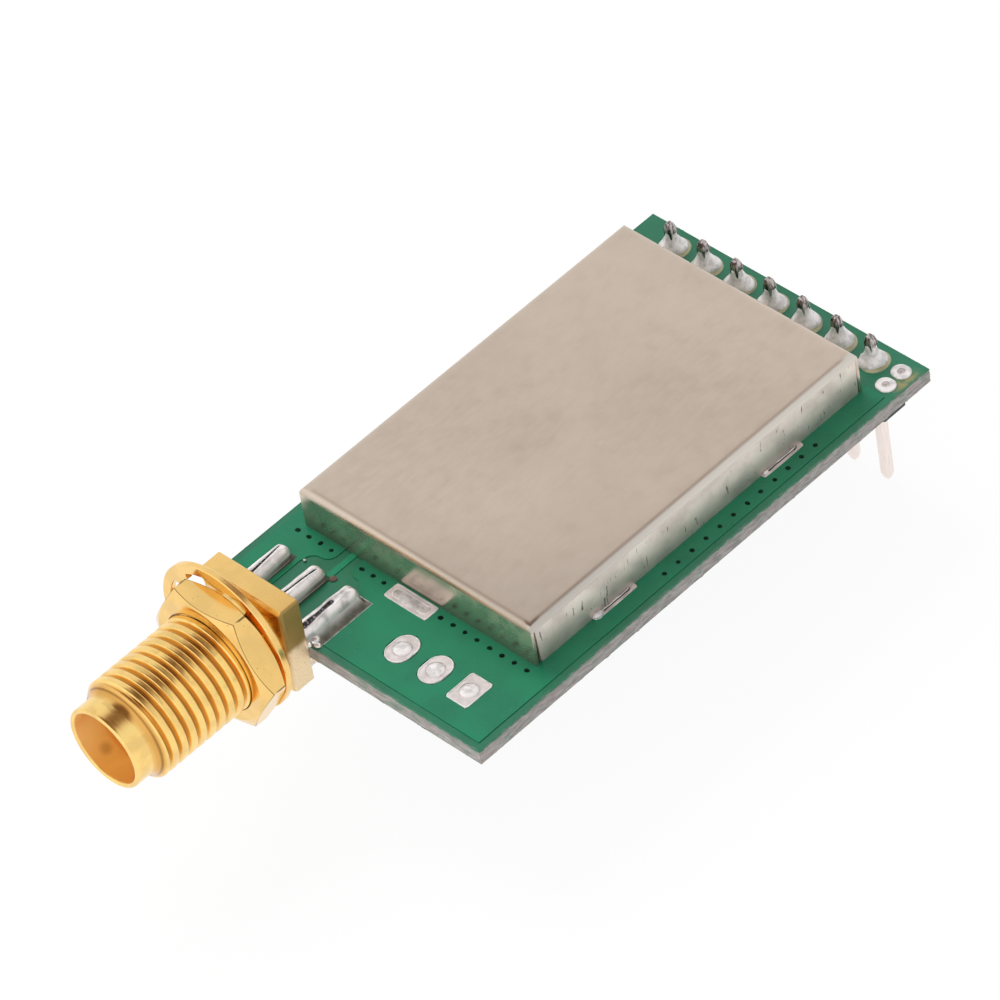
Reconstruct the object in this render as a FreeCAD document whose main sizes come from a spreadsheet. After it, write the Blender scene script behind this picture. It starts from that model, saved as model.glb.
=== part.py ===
import FreeCAD, Part
import math
import operator
import os
from collections import namedtuple
from types import SimpleNamespace

import Sketcher

# Radio module: a shielded circuit board with a threaded antenna jack at one end
# and a row of header pins at the other.
# The origin is the middle of the pin row, on the underside of the header strip.
# X runs along the pin row, Y from the antenna jack to the pins, Z up.

# Driving sizes in millimetres, each with its meaning.
SIZES = [
    # circuit board
    ("board_width", 21.0, "board, along the pin row"),
    ("board_length", 36.0, "board, from the jack's edge to the pins' edge"),
    ("board_thick", 1.0, "glass fibre plate"),
    ("copper_thick", 0.05, "copper and tinned pads"),
    ("copper_inset", 0.45, "board edge to ground copper"),
    ("pour_gap", 1.75, "pin row to ground copper"),
    ("via_radius", 0.16, "ground via"),
    ("via_edge", 1.0, "side row of vias to the board edge"),
    ("via_side_start", 9.22, "first side via to the can's near wall"),
    ("via_side_pitch", 1.11, "side row of vias"),
    ("via_side_count", 12, "vias in a side row"),
    ("via_front", 0.55, "front row of vias to the can's near wall"),
    ("via_front_pitch", 0.86, "front vias beside the trace"),
    ("via_left_count", 4, "front vias left of the trace"),
    ("via_left_start", 1.26, "last left via to the trace"),
    ("via_mid_count", 3, "front vias right of the trace"),
    ("via_mid_start", 1.1, "first middle via to the trace"),
    ("via_right_count", 8, "front vias beside the right corner"),
    ("via_right_pitch", 0.93, "front vias beside the right corner"),
    ("via_right_start", 2.03, "last right via to the board edge"),
    # header
    ("pin_count", 7, "pins in the row"),
    ("pin_pitch", 2.54, "pin spacing"),
    ("header_edge", 1.4, "pin row to the board edge"),
    ("pin_side", 0.64, "square pin"),
    ("pin_tip", 0.3, "flat at each end of a pin"),
    ("pin_taper", 0.4, "pointed length at each end"),
    ("pin_rise", 2.0, "pin above the board"),
    ("pin_drop", 5.8, "pin below the strip"),
    ("strip_height", 2.3, "plastic strip"),
    ("strip_depth", 2.54, "plastic strip across the row"),
    ("strip_chamfer", 0.45, "corner of one cell of the strip"),
    ("plating", 0.05, "wall of a plated hole"),
    ("header_hole_radius", 0.55, "drilled hole of a pin"),
    ("header_pad_radius", 0.9, "round pad of a pin"),
    ("cone_height", 1.7, "solder cone above the board"),
    ("cone_radius", 0.84, "foot of a solder cone"),
    ("cone_waist", 0.6, "radius of a solder cone at its waist"),
    ("cone_waist_share", 0.4, "height of the waist as a share of the cone's"),
    ("cone_neck", 0.5, "top radius of a solder cone"),
    # spare holes
    ("spare_count", 3, "spare holes, the last with a square pad"),
    ("spare_edge", 2.86, "spare holes to the jack's edge"),
    ("spare_side", 3.49, "last spare hole to the side edge"),
    ("spare_hole_radius", 0.55, "drilled hole"),
    ("spare_pad_width", 1.6, "pad across"),
    ("spare_pad_length", 2.15, "pad along the board"),
    ("spare_clearance", 0.1, "ground copper to an oval pad"),
    ("solder_dome", 0.12, "solder above a filled hole"),
    # test holes
    ("test_count", 2, "small holes in the corner"),
    ("test_pitch", 1.27, "spacing of the small holes"),
    ("test_side", 1.02, "small holes to the side edge"),
    ("test_back", 1.0, "first small hole behind the pin row"),
    ("test_hole_radius", 0.3, "drilled hole"),
    ("test_pad_width", 1.25, "pad across"),
    ("test_pad_length", 1.1, "pad along the board"),
    ("test_pit", 0.2, "pit in the solder of a small hole"),
    # shield can
    ("can_width", 17.7, "can across"),
    ("can_length", 26.12, "can along the board"),
    ("can_height", 2.92, "can above the copper"),
    ("can_front", 6.35, "near wall to the jack's edge"),
    ("can_side", 1.8, "right wall to the board edge"),
    ("can_sheet", 0.2, "sheet metal"),
    ("can_bend", 0.45, "outside radius of the top bends"),
    ("seam_top", 0.08, "corner seam at its upper end"),
    ("seam_foot", 0.22, "corner seam at the board"),
    ("seam_start", 0.7, "seam's upper end to the can's top"),
    ("tab_width", 2.0, "tab that passes through the board"),
    ("tab_front", 6.1, "first tab to the near wall"),
    ("tab_pitch", 13.4, "spacing of a wall's two tabs"),
    ("slot_width", 0.55, "front slot"),
    ("slot_length", 2.55, "each slot"),
    ("side_slot_width", 0.45, "slot for a tab, under the middle of its wall"),
    ("shield_pad_width", 1.15, "pad round the front slot, across"),
    ("side_pad_width", 0.8, "pad round a side slot, across"),
    ("shield_pad_length", 3.2, "pad round a slot, along"),
    ("front_slot", 0.68, "front slot to the near wall"),
    ("bead_height", 0.25, "solder bead on a side wall"),
    ("bead_width", 0.2, "solder bead on a pad"),
    ("bead_length", 2.4, "solder bead along the wall"),
    # antenna jack
    ("jack_inset", 4.88, "jack's axis to the left board edge"),
    ("jack_rise", 0.35, "jack's axis above the board"),
    ("block_side", 6.2, "square block"),
    ("block_thick", 1.5, "square block"),
    ("block_bevel", 0.22, "edge of the block"),
    ("neck_length", 0.8, "neck between block and washer"),
    ("neck_radius", 2.85, "neck between block and washer"),
    ("thread_radius", 3.175, "threaded barrel over its crests"),
    ("thread_mean", 2.95, "thread at mid depth, where the nut engages it"),
    ("thread_lead", 0.1, "full thread to the nut's face"),
    ("thread_pitch", 0.7056, "spacing of the thread's ridges"),
    ("thread_grooves", 8, "grooves of the bare thread, each drawn as a plain ring"),
    ("thread_depth", 0.36, "groove of the bare thread"),
    ("thread_end", 10.85, "end of the thread to the board edge"),
    ("nose_radius", 2.62, "plain nose"),
    ("nose_cone", 0.375, "cone between thread and nose"),
    ("nose_lip", 0.12, "chamfer of the nose"),
    ("jack_reach", 12.45, "mouth to the board edge"),
    ("mouth_radius", 2.3, "bore at the mouth"),
    ("mouth_depth", 1.9, "bore at the mouth"),
    ("insulator_radius", 2.05, "insulator"),
    ("contact_radius", 0.635, "centre contact"),
    ("socket_radius", 0.47, "bore of the centre contact"),
    ("socket_depth", 2.9, "bore of the centre contact"),
    ("socket_slit", 0.15, "slits of the centre contact"),
    ("slit_depth", 2.3, "slits of the centre contact"),
    ("tail_width", 0.76, "tail of the centre contact"),
    ("tail_height", 0.6, "tail of the centre contact"),
    ("leg_length", 4.0, "leg and tail on the board"),
    ("leg_width", 0.9, "leg"),
    ("leg_height", 0.8, "leg"),
    ("washer_radius", 4.75, "lock washer"),
    ("washer_thick", 0.4, "lock washer"),
    ("washer_ring", 0.65, "ring outside the washer's teeth"),
    ("tooth_gap", 0.6, "washer's teeth to the thread, where it sits in the middle"),
    ("washer_left", 0.5, "how far the loose washer has slipped to the left"),
    ("washer_up", 0.25, "how far the loose washer has slipped up"),
    ("tooth_width", 1.2, "tooth of the washer at its root"),
    ("tooth_tip", 0.84, "tooth of the washer at its tip"),
    ("tooth_count", 8, "teeth of the washer"),
    ("nut_flats", 8.0, "nut across its flats"),
    ("nut_thick", 1.7, "nut"),
    ("nut_chamfer", 0.1, "nut's face circle inside its flats"),
    ("nut_lead", 0.3, "lead of the nut's bore"),
    ("thread_play", 0.02, "nut's bore to the thread it engages"),
    # packages inside the can
    ("package_rim", 0.08, "bevel round the top of a package"),
    ("lead_reach", 0.12, "lead beyond its package"),
    ("lead_height", 0.2, "lead"),
    ("chip_end", 0.25, "metal end of a small chip"),
    ("chip_end_step", 0.03, "metal end round a small chip's middle"),
    # antenna pads
    ("left_pad_inner", 2.0, "left leg's pad to the jack's axis"),
    ("left_pad_width", 1.3, "left leg's pad"),
    ("right_pad_inner", 1.7, "right leg's pad to the jack's axis"),
    ("right_pad_width", 2.17, "right leg's pad"),
    ("pad_length", 4.1, "pads of the jack"),
    ("pad_edge", 0.2, "pads of the jack to the board edge"),
    ("signal_pad_width", 1.3, "pad of the tail"),
    ("trace_shift", 0.42, "antenna trace to the jack's axis"),
    ("trace_width", 0.4, "antenna trace"),
    ("trace_channel", 1.4, "gap in the ground copper along the trace"),
    ("keepout_width", 4.1, "gap in the ground copper at the pads"),
    ("leg_solder", 0.5, "solder up the sides of a leg"),
    ("solder_margin", 0.1, "solder to the edge of its pad"),
    ("solder_top", 0.12, "solder beside a leg at its upper end"),
]

# Pieces inside the can. Each line gives the place right of and beyond the can's middle,
# the width, length and height, and the leads or ends along each of two sides.
PACKAGE_FIELDS = ("x", "y", "width", "length", "height", "leads")
PACKAGES = {
    "antenna_switch_chip": (-5.05, -10.8, 2.0, 1.25, 0.95, 3),
    "power_amplifier_chip": (-4.75, -7.2, 3.0, 3.0, 0.75, 4),
    "radio_transceiver_chip": (-2.35, -1.5, 5.0, 5.0, 0.9, 5),
    "microcontroller_chip": (1.65, 6.2, 5.0, 5.0, 0.9, 5),
    "voltage_regulator": (5.65, 9.6, 2.9, 1.6, 1.1, 3),
    "reference_oscillator": (4.65, -3.5, 3.2, 2.5, 0.9, 2),
    "clock_crystal": (6.15, 2.5, 3.2, 1.5, 0.8, 2),
}

# Rows of small two-ended chips: the first one's place, the step to the next, how many,
# and the length, width and height of one.
CHIP_FIELDS = ("x", "y", "step", "count", "length", "width", "height")
CHIP_ROWS = {
    "filter_inductors": (-1.5, -10.4, 1.9, 3, 1.6, 0.8, 0.8),
    "chip_capacitors": (-7.2, 2.6, 1.5, 4, 1.0, 0.5, 0.5),
    "chip_resistors": (2.4, -8.6, 1.5, 3, 1.0, 0.5, 0.35),
}

doc = FreeCAD.newDocument("RadioModule")
sheet = doc.addObject("Spreadsheet::Sheet", "Sizes")


class Size:
    """A number together with the sheet expression that gives it."""

    def __init__(self, value, text):
        self.value = float(value)
        self.text = text

    def __add__(self, other):
        return combine(self, "+", other)

    def __radd__(self, other):
        return combine(other, "+", self)

    def __sub__(self, other):
        return combine(self, "-", other)

    def __rsub__(self, other):
        return combine(other, "-", self)

    def __mul__(self, other):
        return combine(self, "*", other)

    def __rmul__(self, other):
        return combine(other, "*", self)

    def __truediv__(self, other):
        return combine(self, "/", other)

    def __neg__(self):
        return combine(0, "-", self)


OPERATIONS = {"+": operator.add, "-": operator.sub, "*": operator.mul, "/": operator.truediv}


def as_size(number):
    """Accept a plain number wherever a size is taken."""
    if isinstance(number, Size):
        return number
    return Size(number, f"{float(number):.9f}")


def combine(left, sign, right):
    """Work a sum out as a number and as an expression."""
    left = as_size(left)
    right = as_size(right)
    value = OPERATIONS[sign](left.value, right.value)
    return Size(value, f"({left.text} {sign} {right.text})")


def table_sizes(table, fields):
    """Turn a table of pieces into sizes, one for each field of each piece."""
    for piece, values in table.items():
        for field, value in zip(fields, values):
            yield (f"{piece}_{field}", value, f"{field} of {piece}")


def fill_sheet():
    """Write each size into the sheet and return them by name."""
    named = {}
    rows = SIZES + list(table_sizes(PACKAGES, PACKAGE_FIELDS))
    rows += list(table_sizes(CHIP_ROWS, CHIP_FIELDS))
    for line, (alias, value, meaning) in enumerate(rows, start=1):
        sheet.set(f"A{line}", meaning)
        sheet.set(f"B{line}", str(value))
        sheet.setAlias(f"B{line}", alias)
        named[alias] = Size(value, "Sizes." + alias)
    doc.recompute()
    return SimpleNamespace(**named)


size = fill_sheet()

# Levels, from the strip's underside upwards.
copper_bottom = size.strip_height
board_bottom = copper_bottom + size.copper_thick
board_top = board_bottom + size.board_thick
copper_top = board_top + size.copper_thick
plate_height = copper_top - copper_bottom

# Edges of the board and of its ground copper.
half_width = size.board_width / 2
near_edge = size.header_edge - size.board_length
pour_side = half_width - size.copper_inset
pour_near = near_edge + size.copper_inset
pour_far = -size.pour_gap

# The can's outside walls and its middle.
can_right = half_width - size.can_side
can_left = can_right - size.can_width
can_near = near_edge + size.can_front
can_far = can_near + size.can_length
can_x = can_right - size.can_width / 2
can_y = can_near + size.can_length / 2

# The jack's axis and the antenna trace.
jack_x = size.jack_inset - half_width
jack_z = board_top + size.jack_rise
trace_x = jack_x + size.trace_shift
pad_near = near_edge + size.pad_edge
pad_far = pad_near + size.pad_length
leg_offset = (size.block_side - size.leg_width) / 2

# Both sides of the left leg's pad, of the right leg's pad and of the tail's pad.
LEG_PADS = [
    (jack_x - size.left_pad_inner - size.left_pad_width, jack_x - size.left_pad_inner),
    (jack_x + size.right_pad_inner, jack_x + size.right_pad_inner + size.right_pad_width),
]
SIGNAL_PAD = (jack_x - size.signal_pad_width / 2, jack_x + size.signal_pad_width / 2)

# The first tab, the middle of a side wall from the can's middle, and the front slot.
tab_first = can_near + size.tab_front
wall_middle = (size.can_width - size.can_sheet) / 2
front_slot_y = can_near - size.front_slot

# A row of like features: where the first stands, which way the row runs, and how many.
Row = namedtuple("Row", "name x y axis pitch count")

first_pin = -(size.pin_count - 1) * size.pin_pitch / 2
PIN_ROW = Row("pins", first_pin, 0, "X_Axis", size.pin_pitch, size.pin_count)

last_spare = half_width - size.spare_side
first_spare = last_spare - (size.spare_count - 1) * size.pin_pitch
spare_y = near_edge + size.spare_edge
SPARE_ROW = Row("spares", first_spare, spare_y, "X_Axis", size.pin_pitch, size.spare_count)

test_x = half_width - size.test_side
TEST_ROW = Row("tests", test_x, -size.test_back, "Y_Axis", size.test_pitch, size.test_count)

via_y = can_near - size.via_front
via_left = trace_x - size.via_left_start - (size.via_left_count - 1) * size.via_front_pitch
via_mid = trace_x + size.via_mid_start
via_right = half_width - size.via_right_start - (size.via_right_count - 1) * size.via_right_pitch
via_first = can_near + size.via_side_start
via_edge_x = half_width - size.via_edge
VIA_ROWS = [
    Row("front_left", via_left, via_y, "X_Axis", size.via_front_pitch, size.via_left_count),
    Row("front_mid", via_mid, via_y, "X_Axis", size.via_front_pitch, size.via_mid_count),
    Row("front_right", via_right, via_y, "X_Axis", size.via_right_pitch, size.via_right_count),
    Row("right", via_edge_x, via_first, "Y_Axis", size.via_side_pitch, size.via_side_count),
]

# Number of slots and tabs along one side wall.
TABS = 2
TAB_ROW = Row("tabs", can_x, tab_first, "Y_Axis", size.tab_pitch, TABS)

FULL_TURN = 360
# Lengths that differ by less are taken as the same.
SAME_LENGTH = 0.001
# Sides of a small round hole, pad or solder cone, and of a via. There are many of them,
# so each has few.
ROUND_SIDES = 8
VIA_SIDES = 4
# Corner radius of a hexagon for a width of one across its flats.
HEX_CORNER = 1 / math.sqrt(3)
# Slope of a nut's chamfer against its face.
NUT_SLOPE = math.tan(math.radians(30))

parts = {}


def bind(item, name, amount):
    """Tie one property to the sheet."""
    item.setExpression(name, as_size(amount).text)


def make_body(label, x=0, y=0, z=0):
    """Start a sub-part at its place in the module."""
    body = doc.addObject("PartDesign::Body", label)
    body.Label = label
    body.AllowCompound = True
    bind(body, "Placement.Base.x", x)
    bind(body, "Placement.Base.y", y)
    bind(body, "Placement.Base.z", z)
    parts[label] = body
    return body


def make_sketch(body, name, plane="XY_Plane", offset=0):
    """Attach a sketch to one of the body's own planes, moved along the plane's normal."""
    sketch = body.newObject("Sketcher::SketchObject", f"{body.Label}_{name}")
    sketch.AttachmentSupport = [(origin_feature(body, plane), "")]
    sketch.MapMode = "FlatFace"
    bind(sketch, "AttachmentOffset.Base.z", offset)
    return sketch


def add_dimensions(sketch, wanted):
    """Add driving dimensions together, each an amount, a kind and the places it joins."""
    amounts = [as_size(amount) for amount, _, _ in wanted]
    indices = sketch.addConstraint([
        Sketcher.Constraint(kind, *places, amount.value)
        for amount, (_, kind, places) in zip(amounts, wanted)])
    for index, amount in zip(indices, amounts):
        sketch.renameConstraint(index, f"size_{index}")
        bind(sketch, f"Constraints.size_{index}", amount)


def hold_point(curve, end, x, y):
    """The dimensions that hold one point of a curve at its distances from the sketch's
    origin."""
    return [(x, "DistanceX", (-1, 1, curve, end)), (y, "DistanceY", (-1, 1, curve, end))]


def arc_between(start, finish, radius):
    """The shorter arc from start to finish: anticlockwise for a positive radius."""
    across = finish - start
    left = FreeCAD.Vector(-across.y, across.x, 0).normalize()
    rise = math.sqrt(max(0, radius * radius - (across.Length / 2) ** 2))
    centre = (start + finish) / 2 + left * math.copysign(rise, radius)
    first, last = (start, finish) if radius > 0 else (finish, start)
    begin = math.atan2(first.y - centre.y, first.x - centre.x)
    end = math.atan2(last.y - centre.y, last.x - centre.x)
    circle = Part.Circle(centre, FreeCAD.Vector(0, 0, 1), abs(radius))
    return Part.ArcOfCircle(circle, begin, end)


def outline(sketch, points):
    """Draw a closed outline through the points.

    A third value with a point is the radius of the arc that leaves it, below zero for
    an arc that runs clockwise. Without one a straight line leaves it.
    """
    corners = [FreeCAD.Vector(as_size(p[0]).value, as_size(p[1]).value, 0) for p in points]
    shapes = []
    radii = []
    for place, point in enumerate(points):
        start = corners[place]
        finish = corners[(place + 1) % len(points)]
        radius = as_size(point[2]) if len(point) > 2 else None
        radii.append(radius)
        shapes.append(Part.LineSegment(start, finish) if radius is None
                      else arc_between(start, finish, radius.value))
    curves = sketch.addGeometry(shapes, False)
    ends = [(2, 1) if radius is not None and radius.value < 0 else (1, 2) for radius in radii]
    joins = []
    wanted = []
    for place, curve in enumerate(curves):
        following = (place + 1) % len(curves)
        joins.append(Sketcher.Constraint("Coincident", curve, ends[place][1],
                                         curves[following], ends[following][0]))
        wanted += hold_point(curve, ends[place][0], points[place][0], points[place][1])
        radius = radii[place]
        if radius is not None:
            wanted.append((radius if radius.value > 0 else -radius, "Radius", (curve,)))
    sketch.addConstraint(joins)
    add_dimensions(sketch, wanted)


def rectangle(sketch, left, right, low, high):
    """Draw a rectangle between two sides and two ends."""
    outline(sketch, [(left, low), (right, low), (right, high), (left, high)])


def middle_rectangle(sketch, x, y, width, length):
    """Draw a rectangle round its middle."""
    rectangle(sketch, x - width / 2, x + width / 2, y - length / 2, y + length / 2)


def circle(sketch, x, y, radius):
    """Draw a circle."""
    centre = FreeCAD.Vector(as_size(x).value, as_size(y).value, 0)
    shape = Part.Circle(centre, FreeCAD.Vector(0, 0, 1), as_size(radius).value)
    curve = sketch.addGeometry(shape, False)
    add_dimensions(sketch, hold_point(curve, 3, x, y) + [(radius, "Radius", (curve,))])


def arc_points(x, y, radius, sides, first, last):
    """Points on a circle, from the first to the last of its equal sides."""
    step = 2 * math.pi / sides
    return [(x + radius * math.cos(place * step), y + radius * math.sin(place * step))
            for place in range(first, last)]


def small_round(sketch, x, y, radius, sides=ROUND_SIDES):
    """Draw a small round feature with a few straight sides."""
    outline(sketch, arc_points(x, y, radius, sides, 0, sides))


def oval(sketch, x, y, width, length):
    """Draw a slot shape round its middle: two half circles of a few sides each, moved
    apart along its longer way."""
    width = as_size(width)
    length = as_size(length)
    half = ROUND_SIDES // 2
    if length.value >= width.value:
        radius = width / 2
        shift = (length - width) / 2
        points = arc_points(x, y + shift, radius, ROUND_SIDES, 0, half + 1)
        points += arc_points(x, y - shift, radius, ROUND_SIDES, half, ROUND_SIDES + 1)
    else:
        radius = length / 2
        shift = (width - length) / 2
        quarter = half // 2
        points = arc_points(x + shift, y, radius, ROUND_SIDES, -quarter, quarter + 1)
        points += arc_points(x - shift, y, radius, ROUND_SIDES, quarter, half + quarter + 1)
    outline(sketch, points)


def add_feature(body, kind, sketch):
    """Start a feature that is made from a sketch."""
    feature = body.newObject(f"PartDesign::{kind}", f"{sketch.Label}_{kind.lower()}")
    feature.Profile = sketch
    return feature


def pad(body, sketch, length, down=False, both_ways=False):
    """Raise a sketch along its normal, against it, or half each way."""
    feature = add_feature(body, "Pad", sketch)
    bind(feature, "Length", length)
    feature.Reversed = down
    if both_ways:
        feature.SideType = "Symmetric"
    return feature


def pocket(body, sketch, depth, along_normal=False):
    """Cut a sketch to a depth, against its normal unless told otherwise."""
    feature = add_feature(body, "Pocket", sketch)
    bind(feature, "Length", depth)
    feature.Reversed = along_normal
    return feature


def cut_through(body, sketch):
    """Cut a sketch through the whole body, both ways."""
    feature = add_feature(body, "Pocket", sketch)
    feature.SideType = "Symmetric"
    feature.Type = "ThroughAll"
    return feature


def turn(body, sketch, kind="Revolution"):
    """Turn a profile round the upright axis of its sketch."""
    feature = add_feature(body, kind, sketch)
    feature.ReferenceAxis = (sketch, ["V_Axis"])
    feature.Angle = FULL_TURN
    return feature


def origin_feature(body, role):
    """One of the planes or axes of a body's own origin."""
    return next(item for item in body.Origin.OriginFeatures if item.Role == role)


def repeat(body, features, row, count=None):
    """Repeat features along a row."""
    pattern = body.newObject("PartDesign::LinearPattern", f"{features[-1].Label}_row")
    pattern.Originals = features
    pattern.Direction = (origin_feature(body, row.axis), [""])
    pattern.Mode = "Spacing"
    bind(pattern, "Offset", row.pitch)
    bind(pattern, "Occurrences", row.count if count is None else count)
    body.Tip = pattern


def drill_row(body, row, radius, sides=ROUND_SIDES):
    """Drill a row of round holes through a plate."""
    sketch = make_sketch(body, f"{row.name}_hole")
    small_round(sketch, row.x, row.y, radius, sides)
    hole = cut_through(body, sketch)
    repeat(body, [hole], row)


def side_slots(wall):
    """Middles of the slots along the left wall (-1) or the right wall (1)."""
    return [(can_x + wall * wall_middle, tab_first + step * size.tab_pitch) for step in range(TABS)]


def slot_outlines(sketch):
    """Draw the front slot and the four side slots."""
    oval(sketch, can_x, front_slot_y, size.slot_length, size.slot_width)
    for x, y in side_slots(-1) + side_slots(1):
        oval(sketch, x, y, size.side_slot_width, size.slot_length)


def cut_slots(body):
    """Cut the five slots through a plate."""
    sketch = make_sketch(body, "slots")
    slot_outlines(sketch)
    cut_through(body, sketch)


def tab_sketch(body):
    """Draw the sections of the can's four tabs."""
    sketch = make_sketch(body, "tabs")
    half_tab = size.tab_width / 2
    for left in (can_left, can_right - size.can_sheet):
        for step in range(TABS):
            middle = tab_first + step * size.tab_pitch
            rectangle(sketch, left, left + size.can_sheet, middle - half_tab, middle + half_tab)
    return sketch


def shield_pad_outlines(sketch):
    """Draw the pad of the front slot and those of the four side slots."""
    middle_rectangle(sketch, can_x, front_slot_y, size.shield_pad_length, size.shield_pad_width)
    for x, y in side_slots(-1) + side_slots(1):
        middle_rectangle(sketch, x, y, size.side_pad_width, size.shield_pad_length)


def leg_pad_outlines(sketch):
    """Draw the pads of two legs beside the jack's axis."""
    for left, right in LEG_PADS:
        rectangle(sketch, left, right, pad_near, pad_far)


def build_circuit_board():
    """The glass fibre plate with every hole that it is drilled with."""
    body = make_body("circuit_board", z=board_bottom)
    plate = make_sketch(body, "plate")
    rectangle(plate, -half_width, half_width, near_edge, size.header_edge)
    pad(body, plate, size.board_thick)
    cut_slots(body)
    drill_row(body, PIN_ROW, size.header_hole_radius)
    drill_row(body, SPARE_ROW, size.spare_hole_radius)
    drill_row(body, TEST_ROW, size.test_hole_radius)
    for row in VIA_ROWS:
        drill_row(body, row, size.via_radius, VIA_SIDES)


def cut_keepout(body):
    """Free the signal pad and the trace: a bay that narrows to a channel through two
    pairs of quarter circles."""
    bay = size.keepout_width / 2
    channel = size.trace_channel / 2
    bend = (bay - channel) / 2
    step = pad_far + size.solder_margin
    throat = step + bend
    neck = throat + bend
    inside = can_near + size.can_front / 2
    sketch = make_sketch(body, "keepout")
    outline(sketch, [
        (jack_x - size.right_pad_inner, near_edge),
        (jack_x + size.right_pad_inner, near_edge),
        (jack_x + size.right_pad_inner, pad_far),
        (trace_x + bay, pad_far),
        (trace_x + bay, step, bend),
        (trace_x + channel + bend, throat, -bend),
        (trace_x + channel, neck),
        (trace_x + channel, inside),
        (trace_x - channel, inside),
        (trace_x - channel, neck, -bend),
        (trace_x - channel - bend, throat, bend),
        (trace_x - bay, step),
        (trace_x - bay, pad_far),
        (jack_x - size.right_pad_inner, pad_far),
    ])
    cut_through(body, sketch)


def cut_spare_clearance(body):
    """Keep the ground copper off the oval pads, and end it at the square one."""
    ovals = make_sketch(body, "spare_clearance")
    wide = size.spare_pad_width + 2 * size.spare_clearance
    long = size.spare_pad_length + 2 * size.spare_clearance
    oval(ovals, first_spare, spare_y, wide, long)
    opening = cut_through(body, ovals)
    repeat(body, [opening], SPARE_ROW, count=size.spare_count - 1)
    square = make_sketch(body, "spare_square")
    middle_rectangle(square, last_spare, spare_y, size.spare_pad_width, size.spare_pad_length)
    cut_through(body, square)


def start_ground_copper(label, level):
    """A ground sheet inside the board's edges, with its vias and the openings that both
    sides share."""
    body = make_body(label, z=level)
    sheet_sketch = make_sketch(body, "sheet")
    rectangle(sheet_sketch, -pour_side, pour_side, pour_near, pour_far)
    pad(body, sheet_sketch, size.copper_thick)
    leg_pads = make_sketch(body, "leg_pads")
    leg_pad_outlines(leg_pads)
    cut_through(body, leg_pads)
    for row in VIA_ROWS:
        drill_row(body, row, size.via_radius, VIA_SIDES)
    return body


def build_ground_copper():
    """The ground sheets on both faces of the board, under the green mask."""
    top = start_ground_copper("ground_copper_top", board_top)
    cut_keepout(top)
    shield_pads = make_sketch(top, "shield_pads")
    shield_pad_outlines(shield_pads)
    cut_through(top, shield_pads)
    cut_spare_clearance(top)

    bottom = start_ground_copper("ground_copper_bottom", copper_bottom)
    cut_slots(bottom)
    rings = make_sketch(bottom, "spare_rings")
    small_round(rings, first_spare, spare_y, size.spare_pad_width / 2 + size.spare_clearance)
    opening = cut_through(bottom, rings)
    repeat(bottom, [opening], SPARE_ROW)


def build_antenna_copper():
    """The pads under the jack's legs and tail, and the trace into the can."""
    pads = make_body("antenna_pads")
    top = make_sketch(pads, "top", offset=board_top)
    leg_pad_outlines(top)
    rectangle(top, *SIGNAL_PAD, pad_near, pad_far)
    pad(pads, top, size.copper_thick)
    bottom = make_sketch(pads, "bottom", offset=copper_bottom)
    leg_pad_outlines(bottom)
    pad(pads, bottom, size.copper_thick)

    trace = make_body("antenna_trace", z=board_top)
    strip = make_sketch(trace, "strip")
    half_trace = size.trace_width / 2
    rectangle(strip, trace_x - half_trace, trace_x + half_trace, pad_far, switch_y)
    pad(trace, strip, size.copper_thick)


def build_shield_pads():
    """The tinned pads round the slots."""
    body = make_body("shield_pads", z=board_top)
    sketch = make_sketch(body, "pads")
    shield_pad_outlines(sketch)
    pad(body, sketch, size.copper_thick)
    cut_slots(body)


def plate_row(body, row, hole_radius, pad_width, pad_length=None):
    """Plate a row of holes: a sleeve through the board with a round pad on each face,
    or with a slot-shaped pad on the top one where a length is given."""
    bore = hole_radius - size.plating
    sleeve = make_sketch(body, f"{row.name}_sleeve", offset=copper_bottom)
    small_round(sleeve, row.x, row.y, hole_radius)
    small_round(sleeve, row.x, row.y, bore)
    top = make_sketch(body, f"{row.name}_top", offset=board_top)
    if pad_length is None:
        small_round(top, row.x, row.y, pad_width / 2)
    else:
        oval(top, row.x, row.y, pad_width, pad_length)
    small_round(top, row.x, row.y, bore)
    bottom = make_sketch(body, f"{row.name}_bottom", offset=copper_bottom)
    small_round(bottom, row.x, row.y, pad_width / 2)
    small_round(bottom, row.x, row.y, bore)
    features = [pad(body, sleeve, plate_height)]
    features += [pad(body, face, size.copper_thick) for face in (top, bottom)]
    repeat(body, features, row)


def build_plated_holes():
    """The plated holes of the pins, the spare holes and the two small holes."""
    header = make_body("header_plated_holes")
    plate_row(header, PIN_ROW, size.header_hole_radius, 2 * size.header_pad_radius)

    tests = make_body("test_plated_holes")
    plate_row(tests, TEST_ROW, size.test_hole_radius, size.test_pad_width, size.test_pad_length)

    spare = make_body("spare_plated_holes")
    width = size.spare_pad_width
    length = size.spare_pad_length
    plate_row(spare, SPARE_ROW, size.spare_hole_radius, width, length)
    square = make_sketch(spare, "square", offset=board_top)
    middle_rectangle(square, last_spare, spare_y, width, length)
    small_round(square, last_spare, spare_y, size.spare_hole_radius - size.plating)
    pad(spare, square, size.copper_thick)


def loft(body, name, x, y, sections):
    """Join small round sections, each a level and a radius, with straight sides."""
    sketches = []
    for number, (level, radius) in enumerate(sections):
        sketch = make_sketch(body, f"{name}_{number}", offset=level)
        small_round(sketch, x, y, radius)
        sketches.append(sketch)
    feature = body.newObject("PartDesign::AdditiveLoft", f"{body.Label}_{name}")
    feature.Profile = sketches[0]
    feature.Sections = sketches[1:]
    feature.Ruled = True
    return feature


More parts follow.
